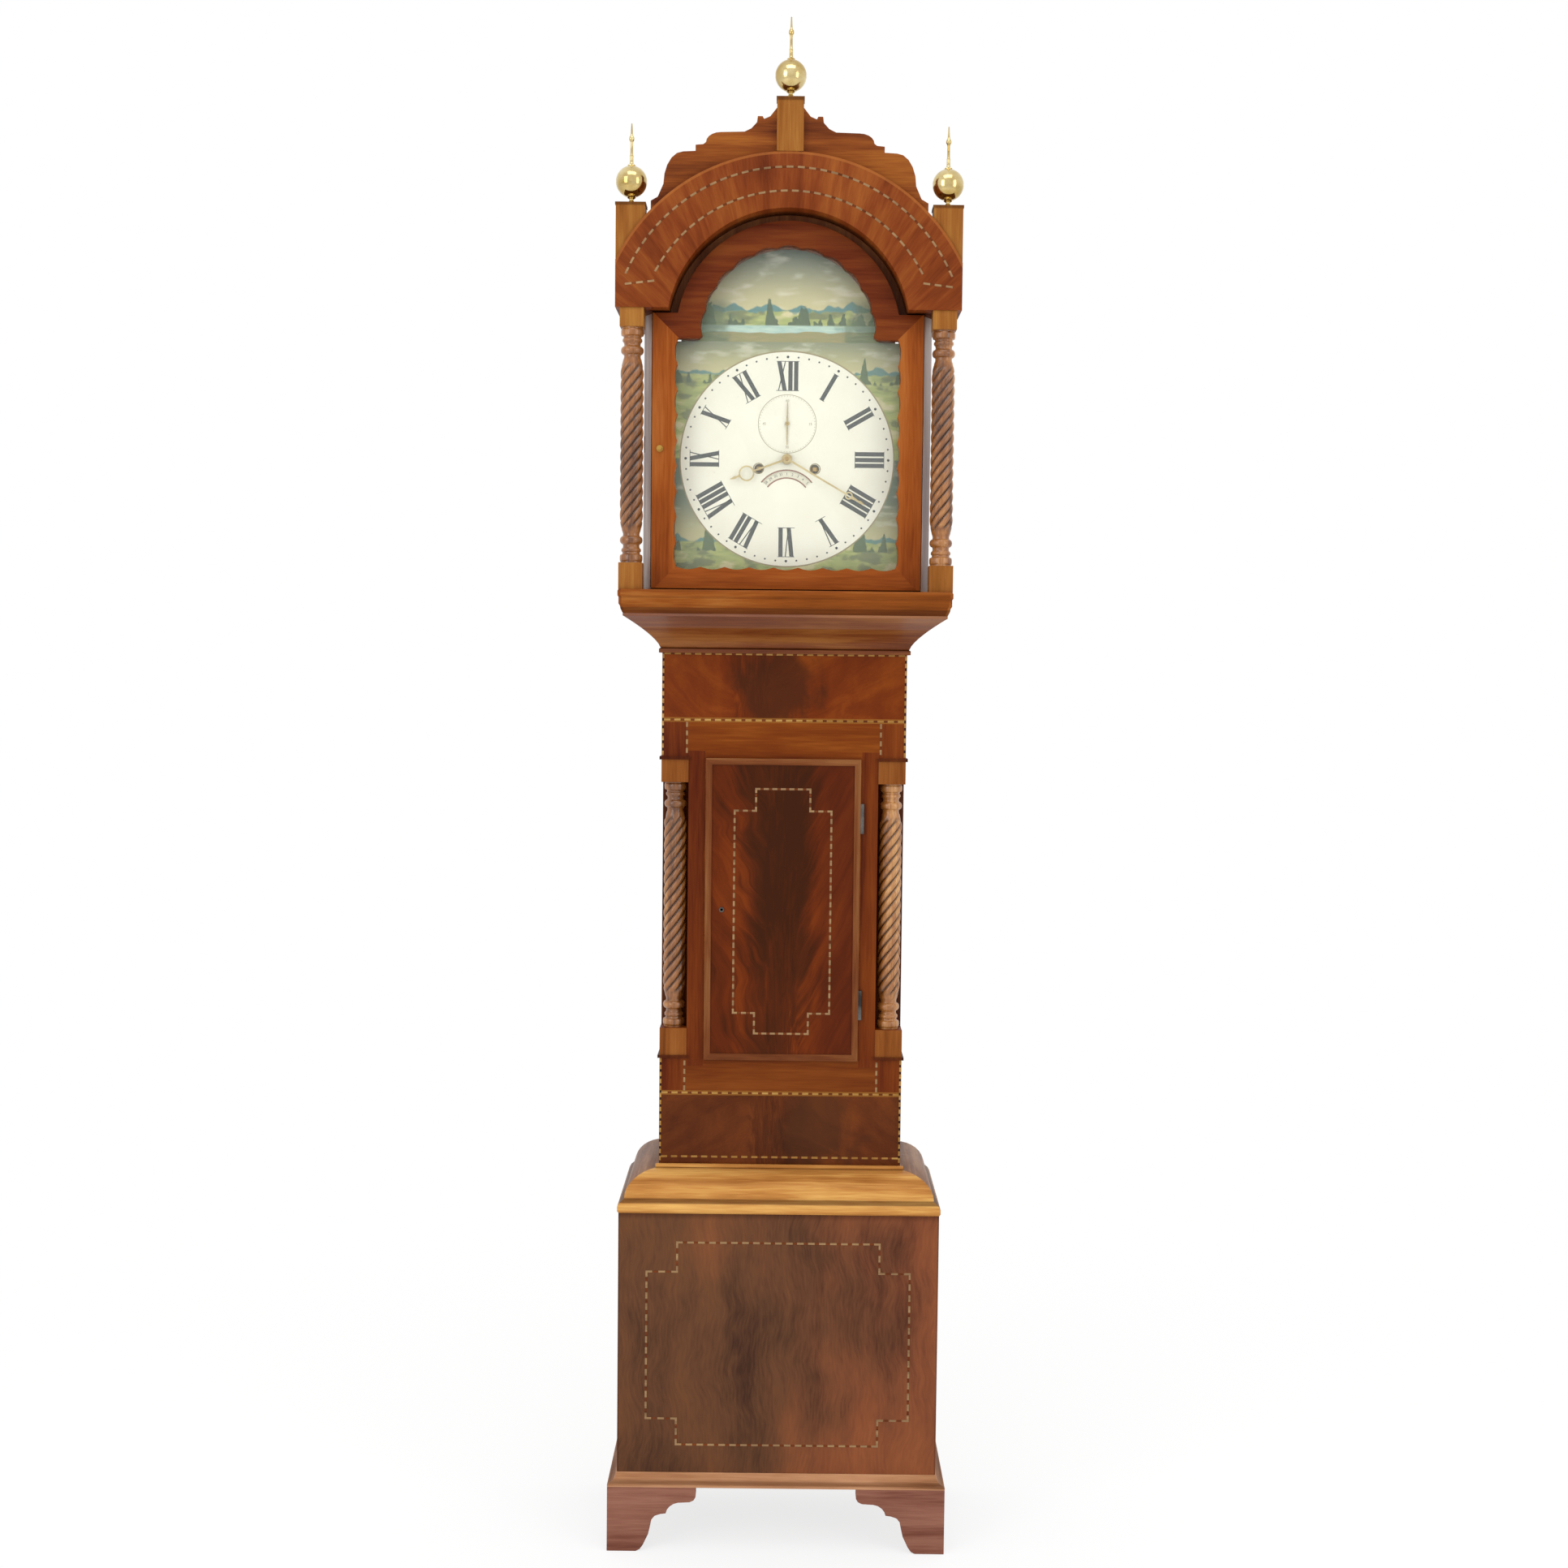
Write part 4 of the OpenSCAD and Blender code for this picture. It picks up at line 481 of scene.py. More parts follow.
def hood_door_finish():
    """Four straight members that meet in mitres, under an arched head with its grain laid level."""
    material, bench, place, x, _, z = start_finish("mahogany_hood_door")
    tones = ("6d2f0a", "8d4717", "a15d28")
    upright, fine = grain(bench, place, "z", tones, 17.0)
    level, _ = grain(bench, place, "x", tones, 18.0)
    head, _ = grain(bench, place, "x", ("4a1807", "642b10", "783c17"), 19.0)
    past_side = abs(x) - LIGHT_HALF_WIDTH
    at_foot = bench.ease((LIGHT_FOOT - z) - past_side, -0.0003, 0.0003)
    colour = bench.blend(at_foot, upright, level)
    at_head = bench.ease((z - LIGHT_SHOULDER) - past_side, -0.0003, 0.0003)
    colour = bench.blend(at_head, colour, head)
    polished(bench, colour, fine)
    return material


wood_hood_door = hood_door_finish()


def hood_shell_finish():
    """Dull mahogany inside and on the roof, and a pale painted reflection of the white studio on the bevelled
    posts beside the door.
    """
    material, bench, place, x, y, z = start_finish("mahogany_hood_shell")
    board, fine = grain(bench, place, "z", ("54260f", "74401f", "8c562e"), 20.0)
    # The posts' pale grey-lilac is a painted reflection of the white studio.
    post_reflection, _ = grain(bench, place, "z", ("94827e", "b0a09a", "ccbeb8"), 21.0)
    on_reflecting_post = (y < -0.0655) * (z < 1.9) * (abs(x) > 0.2)
    polished(bench, bench.blend(on_reflecting_post, board, post_reflection), fine)
    return material


wood_hood_shell = hood_shell_finish()
print(len(bpy.data.materials), "finishes")

# %% [markdown]
# ## Metals, gut and glass
# Lacquered brass is warm and a little cloudy, cast iron is dull and pitted, and steel is
# filed bright. Each gets fine scratches from stretched noise. The glass is a thin clear
# sheet: its colour hardly matters, but its shine does.

# %% Metals, gut and glass


def metal(name, tones, roughness, scratch=(1, 1, 1), cloud=30.0, relief=0.00003, metallic=1.0):
    material, bench, place, *_ = start_finish(name)
    clouds = bench.noise(place, cloud, 3.0)
    marks = bench.noise(bench.stretch(place, scratch), 700.0, 2.0)
    colour = bench.ramp(clouds * 0.8 + marks * 0.2, (0.35, 0.65), tones)
    end_finish(bench, colour, clouds * 0.16 + marks * 0.1 + (roughness - 0.13), marks, relief,
               Metallic=metallic)
    return material


brass = metal("brass_lacquered", ("a07a38", "c9a256"), 0.3, (1, 0.1, 1))
bright_brass = metal("brass_bright", ("b89a58", "e4d3a0"), 0.16)
hand_brass = metal("brass_hands", ("b89c60", "e0cc94"), 0.3)
old_brass = metal("worn_hinges", ("343232", "706c68"), 0.4)
bell_metal = metal("bell_metal", ("8e8468", "b4a888"), 0.3, (1, 1, 0.1))
steel = metal("steel_filed", ("6c6e74", "9a9ca2"), 0.32, (0.1, 1, 1))
iron = metal("cast_iron", ("1c1c1e", "343436"), 0.62, cloud=120.0, relief=0.0002, metallic=0.6)


def gut_finish():
    material, bench, place, *_ = start_finish("gut_line")
    twist = bench.node("ShaderNodeTexWave", {"bands_direction": "DIAGONAL"},
                       {"Vector": place, "Scale": 380.0, "Distortion": 1.0})
    colour = bench.blend(twist, "7a5c34", "b09060")
    end_finish(bench, colour, twist * 0.1 + 0.45, twist, 0.0001)
    return material


def glass_finish():
    material, bench, place, *_ = start_finish("clear_glass")
    ripple = bench.noise(place, 3.0, 1.0)
    end_finish(bench, tone("dfe8e4"), ripple * 0.02 + 0.02, ripple, 0.001, Alpha=0.07)
    return material


gut = gut_finish()
glass = glass_finish()
print("metals, gut and glass done")

# %% [markdown]
# ## Dressing the solid parts
# A solid from the workshop drawing has knife edges, and real wood does not: even a crisp
# edge is rounded by about half a millimetre and catches a line of light. Each wooden part
# is copied, its triangles are merged to flat faces, and its sharp edges get a small bevel.
# The bevel is made in bmesh, not by a modifier, so that the mesh is final at once.


# %% Dress a part
bodies = frame["record"]["behaviour"]["bodies"]
body_of_node = {node: body for body, nodes in bodies.items() for node in nodes}


def as_piece(name, mesh, body, material, nodes=()):
    """A finished mesh becomes a piece of the clock."""
    piece = put(name, mesh)
    mesh.materials.clear()
    mesh.materials.append(material)
    if body:
        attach(piece, body)
    if nodes:
        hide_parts(*nodes)
    return piece


def smooth(mesh, angle=32):
    mesh.shade_smooth()
    mesh.set_sharp_from_angle(angle=math.radians(angle))


def closed_mesh(work, name):
    """The mesh of a bmesh, with its faces turned outwards."""
    bmesh.ops.recalc_face_normals(work, faces=work.faces)
    mesh = bpy.data.meshes.new(name)
    work.to_mesh(mesh)
    work.free()
    return mesh


def open_copy(node):
    """A copy of a solid part's mesh, and a bmesh of it whose faces share their corners."""
    mesh = frame["nodes"][node].data.copy()
    work = bmesh.new()
    work.from_mesh(mesh)
    bmesh.ops.remove_doubles(work, verts=work.verts, dist=2e-6)
    return mesh, work


def dress(node, material, edge):
    """A copy of a solid part with merged faces and edges rounded by so many millimetres."""
    mesh, work = open_copy(node)
    bmesh.ops.dissolve_limit(work, angle_limit=math.radians(0.5), verts=work.verts, edges=work.edges)
    sharp = [e for e in work.edges if len(e.link_faces) == 2 and e.calc_face_angle(0) > math.radians(30)]
    bmesh.ops.bevel(work, geom=sharp, offset=edge * MM, offset_type="OFFSET", segments=2, profile=0.6,
                    affect="EDGES", clamp_overlap=True)
    work.to_mesh(mesh)
    work.free()
    smooth(mesh)
    return as_piece(node + "_dressed", mesh, body_of_node[node], material, [node])


DRESSED = [
    ("plinth_front_panel", wood_plinth, "flame_mahogany", 0.8), ("plinth_sides", wood_side, "mahogany", 0.8),
    ("bracket_feet", wood_feet, "mahogany", 0.8), ("base_moulding", wood_base, "mahogany", 0.4),
    ("waist_moulding", wood_waist, "golden_mahogany", 0.3), ("trunk_sides", wood_side, "mahogany", 0.6),
    ("trunk_front_frame", wood_trunk_front, "flame_mahogany", 0.6),
    ("trunk_door", wood_trunk_door, "flame_mahogany", 1.2), ("throat_moulding", wood_throat, "mahogany", 0.3),
    ("hood_base", wood_hood_base, "golden_mahogany", 0.4), ("hood_carcass", wood_hood_shell, "mahogany", 0.4),
    ("hood_blocks", wood_blocks, "golden_mahogany", 0.6), ("hood_arch", wood_arch, "mahogany", 0.6),
    ("hood_crest", wood_crest, "mahogany", 0.6), ("hood_door_frame", wood_hood_door, "mahogany", 0.5),
    ("backboard", wood_pine, "pine", 0.8), ("seatboard", wood_pine, "pine", 0.8),
]
for node, material, slot, edge in DRESSED:
    piece = dress(node, material, edge)
    print(node, len(piece.data.polygons), "faces")

# %% [markdown]
# ## Rope columns
# The columns are turned at both ends and carved between them into six strands that climb
# like a rope. A column is a surface of rings: the turned ends are a plain profile, and the
# carved length adds six round lobes whose angle grows with height. Every ring has the
# same number of points, so the whole column is one clean grid with two caps.


# %% Rope columns
ROPE_RADIUS = 17.5 * MM
STRANDS = 6
ROPE_PITCH = 106 * MM
TURNED_LENGTH = 52 * MM
GROOVE = 4.8 * MM
RING_POINTS = 96
TURNING = [(0, 0.92), (0.04, 0.92), (0.05, 0.96), (0.1, 0.985), (0.18, 0.985), (0.23, 0.95), (0.25, 0.8),
           (0.28, 0.76), (0.31, 0.76), (0.33, 0.84), (0.38, 0.86), (0.41, 0.82), (0.44, 0.73), (0.5, 0.7),
           (0.54, 0.74), (0.56, 0.86), (0.6, 0.95), (0.66, 0.985), (0.72, 0.95), (0.76, 0.86), (0.78, 0.74),
           (0.83, 0.71), (0.88, 0.74), (0.93, 0.8), (1.0, 0.84)]


def rope_column(work, foot, length):
    """Adds one column to a bmesh."""
    levels = [(share * TURNED_LENGTH, size, 0.0) for share, size in TURNING]
    carved = length - 2 * TURNED_LENGTH
    steps = round(carved / (2.2 * MM))
    for i in range(1, steps):
        height = carved * i / steps
        fade = min(1.0, min(height, carved - height) / (9 * MM))
        levels.append((TURNED_LENGTH + height, 0.84 + 0.16 * fade, fade))
    levels += [(length - share * TURNED_LENGTH, size, 0.0) for share, size in reversed(TURNING)]
    rings = []
    for height, size, carving in levels:
        ring = []
        for k in range(RING_POINTS):
            around = 2 * math.pi * k / RING_POINTS
            lobe = abs(math.cos(STRANDS / 2 * (around - 2 * math.pi * height / ROPE_PITCH)))
            radius = ROPE_RADIUS * size - GROOVE * carving * (1 - lobe ** 0.6)
            spot = Vector((radius * math.cos(around), radius * math.sin(around), height))
            ring.append(work.verts.new(foot + spot))
        rings.append(ring)
    for low, high in zip(rings, rings[1:]):
        for k in range(RING_POINTS):
            work.faces.new((low[k], low[k - 1], high[k - 1], high[k])[::-1])
    work.faces.new(rings[0][::-1])
    work.faces.new(rings[-1])


def column_pair(name, node, across, front, foot, length, seed):
    work = bmesh.new()
    for side in (-1, 1):
        rope_column(work, Vector((side * across, front, foot)), length)
    mesh = closed_mesh(work, name)
    smooth(mesh, 50)
    finish = column_finish(name, across, front, foot, foot + length, seed)
    return as_piece(name, mesh, body_of_node[node], finish, [node])


hood_low, hood_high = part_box("hood_columns")
trunk_low, trunk_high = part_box("trunk_columns")
hood_pair = column_pair("hood_rope_columns", "hood_columns", 0.235, -0.098, hood_low.z,
                        hood_high.z - hood_low.z, 9.0)
trunk_pair = column_pair("trunk_rope_columns", "trunk_columns", 0.168, -0.037, trunk_low.z,
                         trunk_high.z - trunk_low.z, 10.0)
print("columns", len(hood_pair.data.polygons), "and", len(trunk_pair.data.polygons), "faces")

# %% [markdown]
# ## Ball finials
# The three finials are turned brass: a small foot, a hollow ball, and a spire with a bead.
# A lathe makes them, and so does this: one profile turned about its axis, with the axis
# points left single so that both poles close.


# %% Finials
BALL = 23.5


def turn_profile(work, profile, at, sides=48):
    """Adds a closed turned shape; profile is (radius, height) pairs that start and end on the axis."""
    rings = []
    for radius, height in profile:
        if radius < 1e-6:
            rings.append([work.verts.new(at + Vector((0, 0, height)))])
        else:
            angles = [2 * math.pi * k / sides for k in range(sides)]
            rings.append([work.verts.new(at + Vector((radius * math.cos(a), radius * math.sin(a), height)))
                          for a in angles])
    for low, high in zip(rings, rings[1:]):
        for k in range(sides):
            corners = [ring[j % len(ring)] for ring, j in ((low, k), (low, k + 1), (high, k + 1), (high, k))]
            work.faces.new(list(dict.fromkeys(corners)))


def finial_profile():
    """Foot, neck, ball, collar and spire of one finial."""
    foot = [(0, 0), (8.6, 0), (9, 0.5), (9, 1.8), (7.5, 2.6), (4.4, 4), (3.2, 6), (3.4, 7.4), (5.6, 8.6),
            (6.4, 9.6), (6, 10.6), (5.2, 11.2)]
    middle = BALL + 10
    start = math.asin(5.2 / BALL)
    ball = []
    for i in range(1, 24):
        angle = start + (math.pi - 2 * start) * i / 24
        seam = 0.35 * math.exp(-((angle - math.pi / 2) / 0.05) ** 2)
        ball.append(((BALL - seam) * math.sin(angle), middle - BALL * math.cos(angle)))
    top = middle + BALL
    spire = [(5.2, top - 0.6), (6, top), (6, top + 1), (4.6, top + 1.8), (3.4, top + 3), (2.8, top + 5),
             (2.5, top + 13), (2.9, top + 14.5), (2.2, top + 16), (1.9, 90), (2.4, 93), (3.8, 95), (4, 97.5),
             (3.4, 100), (2.2, 101.5), (1.7, 104), (0.9, 119.4), (0, 120)]
    return [(r * MM, h * MM) for r, h in foot + ball + spire]


low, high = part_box("finials")
work = bmesh.new()
for place in ((-0.238, -0.096, 2.061), (0.238, -0.096, 2.061), (0.0, -0.106, 2.217)):
    turn_profile(work, finial_profile(), Vector(place))
mesh = closed_mesh(work, "ball_finials")
smooth(mesh, 40)
as_piece("ball_finials", mesh, "hood", bright_brass, ["finials"])
print("finials from", [round(v, 3) for v in low], "to", [round(v, 3) for v in high])

# %% [markdown]
# ## Stringing
# The panels are outlined with a line of small pale and dark pieces of wood, let into the
# veneer. It repeats along paths, so Geometry Nodes lay it: each run is resampled at the
# pitch of the line, and a small block stands at every point, turned to the run.
# The pale and the dark blocks come from the same tree, half a pitch apart.


# %% Stringing tree
def start_tree(name, inputs):
    """A geometry tree with named inputs: the tree, its bench, and a wire from each input."""
    tree = bpy.data.node_groups.new(name, "GeometryNodeTree")
    for socket, kind in inputs.items():
        tree.interface.new_socket(socket, in_out="INPUT", socket_type="NodeSocket" + kind)
    tree.interface.new_socket("Made", in_out="OUTPUT", socket_type="NodeSocketGeometry")
    bench = Bench(tree)
    return tree, bench, bench.node("NodeGroupInput", output=tuple(range(len(inputs))))


def end_tree(bench, laid, finish):
    """Instances become real faces in their finish, and leave the tree."""
    real = bench.node("GeometryNodeRealizeInstances", {}, {"Geometry": laid})
    ended = bench.node("GeometryNodeSetMaterial", {}, {"Geometry": real, "Material": finish})
    bench.node("NodeGroupOutput", {}, [ended])


def stringing_tree():
    tree, bench, wires = start_tree("stringing", {"Path": "Geometry", "Pitch": "Float", "Length": "Float",
                                                  "Width": "Float", "Depth": "Float", "Finish": "Material"})
    path, pitch, length, width, depth, finish = wires
    curve = bench.node("GeometryNodeMeshToCurve", {}, {"Mesh": path})
    points = bench.node("GeometryNodeResampleCurve", {"mode": "LENGTH"}, {"Curve": curve, "Length": pitch})
    along = bench.node("GeometryNodeInputTangent")
    turn = bench.node("FunctionNodeAlignRotationToVector", {"axis": "X", "pivot_axis": "AUTO"},
                      {"Vector": along})
    block = bench.node("GeometryNodeMeshCube", {}, {"Size": bench.point(length, depth, width)})
    laid = bench.node("GeometryNodeInstanceOnPoints", {},
                      {"Points": points, "Instance": block, "Rotation": turn})
    end_tree(bench, laid, finish)
    return tree


def mesh_of(holder):
    """The plain mesh that an object shows, in place of the object."""
    mesh = bpy.data.meshes.new_from_object(holder.evaluated_get(bpy.context.evaluated_depsgraph_get()))
    bpy.data.objects.remove(holder)
    return mesh


def run_tree(name, mesh, tree, values):
    """The plain mesh that a tree makes from a mesh, with its inputs set by their identifiers."""
    holder = put(name, mesh)
    modifier = holder.modifiers.new(name, "NODES")
    modifier.node_group = tree
    for item in tree.interface.items_tree:
        if item.in_out == "INPUT" and item.name in values:
            modifier[item.identifier] = values[item.name]
    result = mesh_of(holder)
    result.name = name
    return result


def inlay_finish(name, tones):
    return straight_wood(name, "x", tones, 30.0, streak=120.0)


boxwood = inlay_finish("boxwood_inlay", ("6e5438", "86694a", "9c7e58"))
yellow_wood = inlay_finish("yellow_inlay", ("7a5222", "987038", "b28c50"))
brown_wood = inlay_finish("brown_inlay", ("4c2410", "602f15", "743c1c"))
dark_wood = inlay_finish("dark_inlay", ("20100a", "301a0e", "402412"))
stringing = stringing_tree()
print("stringing tree has", len(stringing.nodes), "nodes")

# %% [markdown]
# The runs are drawn as loose edges on the face that they are let into. A run is shortened
# by half a pale block at both ends, so that its ends meet in the corners, and the dark
# blocks fill the gaps. Upright runs lie a hair prouder, so that no two faces coincide.
# On the arch a run is a chain of short edges, which the tree joins to one curve.


# %% Stringing runs
def outline_runs(width, bottom, top, notch_width, notch_bottom, notch_top):
    """A rectangle with stepped corners, as straight runs of (x, z) points."""
    right = [(notch_width, top), (notch_width, notch_top), (width, notch_top), (width, notch_bottom),
             (notch_width, notch_bottom), (notch_width, bottom)]
    corners = right + [(-x, z) for x, z in reversed(right)]
    return [[corners[i - 1], corners[i]] for i in range(len(corners))]


def upright_runs(across, *spans):
    """Upright runs at both sides, each from one height to another."""
    return [[(side * across, a), (side * across, b)] for side in (-1, 1) for a, b in spans]


def arc_run(radius, middle, reach, steps=48):
    """A run along an arc over the door, reach degrees to each side of the top."""
    return [(radius * math.sin(math.radians(a)), middle + radius * math.cos(math.radians(a)))
            for a in (reach * (2 * i / steps - 1) for i in range(steps + 1))]


def part_of_run(run, start, end):
    """The run from a distance along it to another distance before its end."""
    points = [Vector((x, 0, z)) for x, z in run]
    spans = [(b - a).length for a, b in zip(points, points[1:])]

    def at(distance):
        for a, b, span in zip(points, points[1:], spans):
            if distance <= span:
                return a.lerp(b, distance / span)
            distance -= span
        return points[-1]

    end = sum(spans) - end
    inner, gone = [], 0
    for point, span in zip(points[1:-1], spans):
        gone += span
        if start < gone < end:
            inner.append(point)
    return [at(start)] + inner + [at(end)]


def length_of(run):
    return sum(math.dist(a, b) for a, b in zip(run, run[1:]))


PALE_SHARE = 0.62


def lay_stringing(name, body, face, runs, pale, dark, pitch=0.0165, width=0.0031):
    """Pale and dark blocks along runs on the plane y = face, with a pale block at both ends."""
    for finish, slot, word, share in ((pale, "golden_mahogany", "pale", PALE_SHARE),
                                      (dark, "mahogany", "dark", 1 - PALE_SHARE)):
        mesh = bpy.data.meshes.new("runs")
        vertices, edges = [], []
        for run in runs:
            trim = PALE_SHARE / 2 * pitch - width / 2
            whole = length_of(run) - 2 * trim
            count = math.floor(whole / pitch)
            if word == "dark":
                trim += whole / count / 2
            laid = part_of_run(run, trim, trim)
            sunk = 0.06 if abs(run[0][0] - run[-1][0]) < 1e-6 else 0.1
            edges += [(len(vertices) + i, len(vertices) + i + 1) for i in range(len(laid) - 1)]
            vertices += [(p.x, face + sunk * MM, p.z) for p in laid]
        mesh.from_pydata(vertices, edges, [])
        made = run_tree(name + "_" + word, mesh, stringing,
                        {"Pitch": pitch * 0.9999, "Length": pitch * share, "Width": width,
                         "Depth": 0.6 * MM, "Finish": finish})
        as_piece(name + "_" + word, made, body, finish)
        print(name, word, len(made.polygons) // 6, "blocks")


PLINTH_FACE, TRUNK_FACE, DOOR_FACE = -0.116, -0.058, -0.061
lay_stringing("plinth_stringing", "case", PLINTH_FACE,
              outline_runs(0.203, 0.164, 0.482, 0.156, 0.205, 0.436), boxwood, brown_wood)
lay_stringing("door_stringing", "trunk_door", DOOR_FACE,
              outline_runs(0.075, 0.798, 1.180, 0.042, 0.830, 1.146), boxwood, brown_wood, 0.0128)
lay_stringing("trunk_bands", "case", TRUNK_FACE,
              [[(-0.184, z), (0.184, z)] for z in (0.602, *RAIL_MIDDLES, 1.388)],
              yellow_wood, brown_wood, 0.0155)
lay_stringing("trunk_short_lines", "case", TRUNK_FACE,
              upright_runs(CORNER_EDGE, (0.708, 0.752), (1.236, 1.281)), boxwood, brown_wood, 0.0125)
lay_stringing("trunk_edges", "case", TRUNK_FACE,
              upright_runs(0.1872, (0.597, 0.756), (1.232, 1.386)), yellow_wood, dark_wood, 0.011, 0.0028)
lay_stringing("arch_stringing", "hood", ARCH_FACE,
              [arc_run(0.267, 1.847, 66), arc_run(0.226, 1.853, 62), [(-0.244, 1.939), (-0.203, 1.944)],
               [(0.203, 1.944), (0.244, 1.939)]], boxwood, brown_wood)

# %% [markdown]
# ## The painted dial
# The dial is a sheet of iron, painted cream inside the circle of minutes and with small
# landscapes in the arch and corners. The paint is one shader: masks of height and distance
# choose between sky, far hills, meadow, trees and water, each with its own noise. Numerals,
# rings and dots are crisp, so they are thin meshes that lie on the paint.


# %% Dial paint
DIAL_MIDDLE = 1.688
DIAL_SHOULDER = 1.8663
DIAL_FACE = -0.047


def landscape(bench, place, z, horizon, scale, seed):
    """Sky, hills, meadow and trees, with the horizon at a height."""
    ridge = bench.noise(bench.stretch(place, (1, 0, 0), (seed, 0, 0)), 22.0 / scale, 3.0) - 0.5
    height = z - horizon
    # The sky darkens upwards: partly the painter's sky and dirt, partly painted shade under the hood door's
    # edge.
    sky = bench.blend(bench.ease(height, 0.0, 0.09 * scale), "c8be8a", "526454")
    wisps = bench.noise(bench.stretch(place, (1, 1, 3.0), (seed, 0, 0)), 26.0 / scale, 4.0)
    sky = bench.blend(bench.ease(wisps, 0.5, 0.75) * 0.5, sky, "e8e4cc")
    hills = bench.ease(ridge * 0.06 * scale + 0.012 * scale - height, -0.001, 0.002)
    picture = bench.blend(hills, sky, "4e807c")
    near = bench.ease(bench.noise(place, 60.0, 2.0) * 0.012 * scale - height, -0.001, 0.002)
    field = bench.blend(bench.noise(bench.stretch(place, (1, 1, 4.0)), 40.0, 3.0), "567c30", "ccc872")
    patches = bench.noise(bench.stretch(place, (1, 1, 2.0), (seed * 3, 0, 0)), 24.0 / scale, 4.0)
    field = bench.blend(bench.ease(patches, 0.52, 0.66) * 0.8, field, "dccfa0")
    field = bench.blend((1 - bench.ease(patches, 0.36, 0.46)) * 0.7, field, "4c5230")
    picture = bench.blend(near, picture, field)
    groups = bench.noise(bench.stretch(place, (1, 0, 0), (seed * 2, 0, 0)), 34.0 / scale, 2.0) - 0.52
    edge = (bench.noise(place, 150.0, 3.0) - 0.5) * 0.022 * scale
    trees = bench.ease(groups * 0.26 * scale + edge - height, 0.0, 0.003)
    trees = trees * bench.ease(height + 0.012 * scale + edge * 0.4, 0.0, 0.003)
    leaves = bench.blend(bench.noise(place, 260.0, 3.0), "14281e", "4c6630")
    return bench.blend(trees * 0.95, picture, leaves)


def dial_paint():
    material, bench, place, x, _, z = start_finish("dial_paint")
    up = z - DIAL_MIDDLE
    arch = landscape(bench, place, z, 1.905, 1.3, 3.0)
    water = bench.ease(1.893 - z, 0.0, 0.003)
    ripples = bench.noise(bench.stretch(place, (0.15, 1, 1)), 300.0, 2.0)
    arch = bench.blend(water, arch, bench.blend(ripples, "74a8a6", "d4e2c8"))
    bank = bench.ease(1.882 - z + (bench.noise(place, 30.0, 2.0) - 0.5) * 0.012, 0.0, 0.002)
    arch = bench.blend(bank, arch, bench.blend(ripples, "6e7a44", "a8925c"))
    upper = landscape(bench, place, z, 1.812, 0.9, 7.0)
    lower = landscape(bench, place, z, 1.556, 0.9, 11.0)
    corners = bench.blend(up > 0, lower, upper)
    corners = bench.blend(0.2, corners, "6c7c48")
    scrub = bench.ease(abs(x) + (bench.noise(place, 40.0, 3.0) - 0.5) * 0.09, 0.076, 0.104)
    scrub = scrub * (1 - bench.ease(z, 1.915, 1.94))
    arch = bench.blend(scrub * 0.75, arch, bench.blend(ripples, "24402c", "6a8040"))
    picture = bench.blend(z > DIAL_SHOULDER, corners, arch)
    away = bench.distance(bench.point(x, 0.0, z), (0, 0, DIAL_MIDDLE))
    mottle = bench.noise(place, 18.0, 4.0)
    cream = bench.blend(mottle, "e4e2cc", "f2f0e0")
    crazing = bench.node("ShaderNodeTexVoronoi", {"feature": "DISTANCE_TO_EDGE"},
                         {"Vector": place, "Scale": 190.0})
    cracks = 1 - bench.ease(crazing, 0.0, 0.02)
    cream = bench.blend(cracks * 0.18, cream, "a89878")
    colour = bench.blend(bench.ease(away, 0.1648, 0.1652), cream, picture)
    end_finish(bench, colour, mottle * 0.12 + 0.32, cracks, 0.00005, Specular_IOR_Level=0.15)
    return material


dial = dress("dial_plate", dial_paint(), 0.2)
print("dial", len(dial.data.polygons), "faces")

# %% [markdown]
# Roman numerals stand with their feet towards the centre. Each is made of strokes: an I is
# one thick bar, a V is a thick and a thin stroke, an X is a thick stroke crossed by a thin
# one, and fine lines close the tops and feet. Four is written IIII, as on most clocks.


# %% Numerals
INK_THICK = 0.06 * MM
SECONDS_UP, DATE_UP = 54.0, -66.0
NUMERALS = ("XII", "I", "II", "III", "IIII", "V", "VI", "VII", "VIII", "IX", "X", "XI")
BAR, HAIR = 6.5, 1.6
LETTER_FOOT, LETTER_HEAD = 104.6, 149.6
ADVANCE = {"I": 8.8, "V": 17.4, "X": 17.4}


def letter_strokes(letter, left):
    """Slanted bars of one letter as (foot x, head x, thickness), from its left side."""
    if letter == "I":
        return [(left + 4.2, left + 4.2, BAR)]
    if letter == "V":
        return [(left + 9.2, left + 4.4, BAR), (left + 9.6, left + 14.2, HAIR)]
    return [(left + 13.0, left + 4.2, BAR), (left + 3.4, left + 13.8, HAIR)]


def add_plate(work, corners, turn=0.0, thick=INK_THICK):
    """A thin prism on the dial from (x, z) corners about the dial's middle, turned clockwise."""
    c, s = math.cos(turn), math.sin(turn)
    turned = [(x * c + z * s, z * c - x * s) for x, z in corners]
    rows = [[work.verts.new((across * MM, y, DIAL_MIDDLE + up * MM)) for across, up in turned]
            for y in (DIAL_FACE - thick, DIAL_FACE + 0.2 * MM)]
    work.faces.new(rows[0])
    work.faces.new(rows[1][::-1])
    n = len(corners)
    for i in range(n):
        work.faces.new((rows[0][i], rows[1][i], rows[1][(i + 1) % n], rows[0][(i + 1) % n]))


def end_plates(work, name, body, material):
    return as_piece(name, closed_mesh(work, name), body, material)


def flat_paint(name, dark, light):
    material, bench, place, *_ = start_finish(name)
    wear = bench.noise(place, 500.0, 3.0)
    end_finish(bench, bench.blend(wear, dark, light), wear * 0.2 + 0.3)
    return material


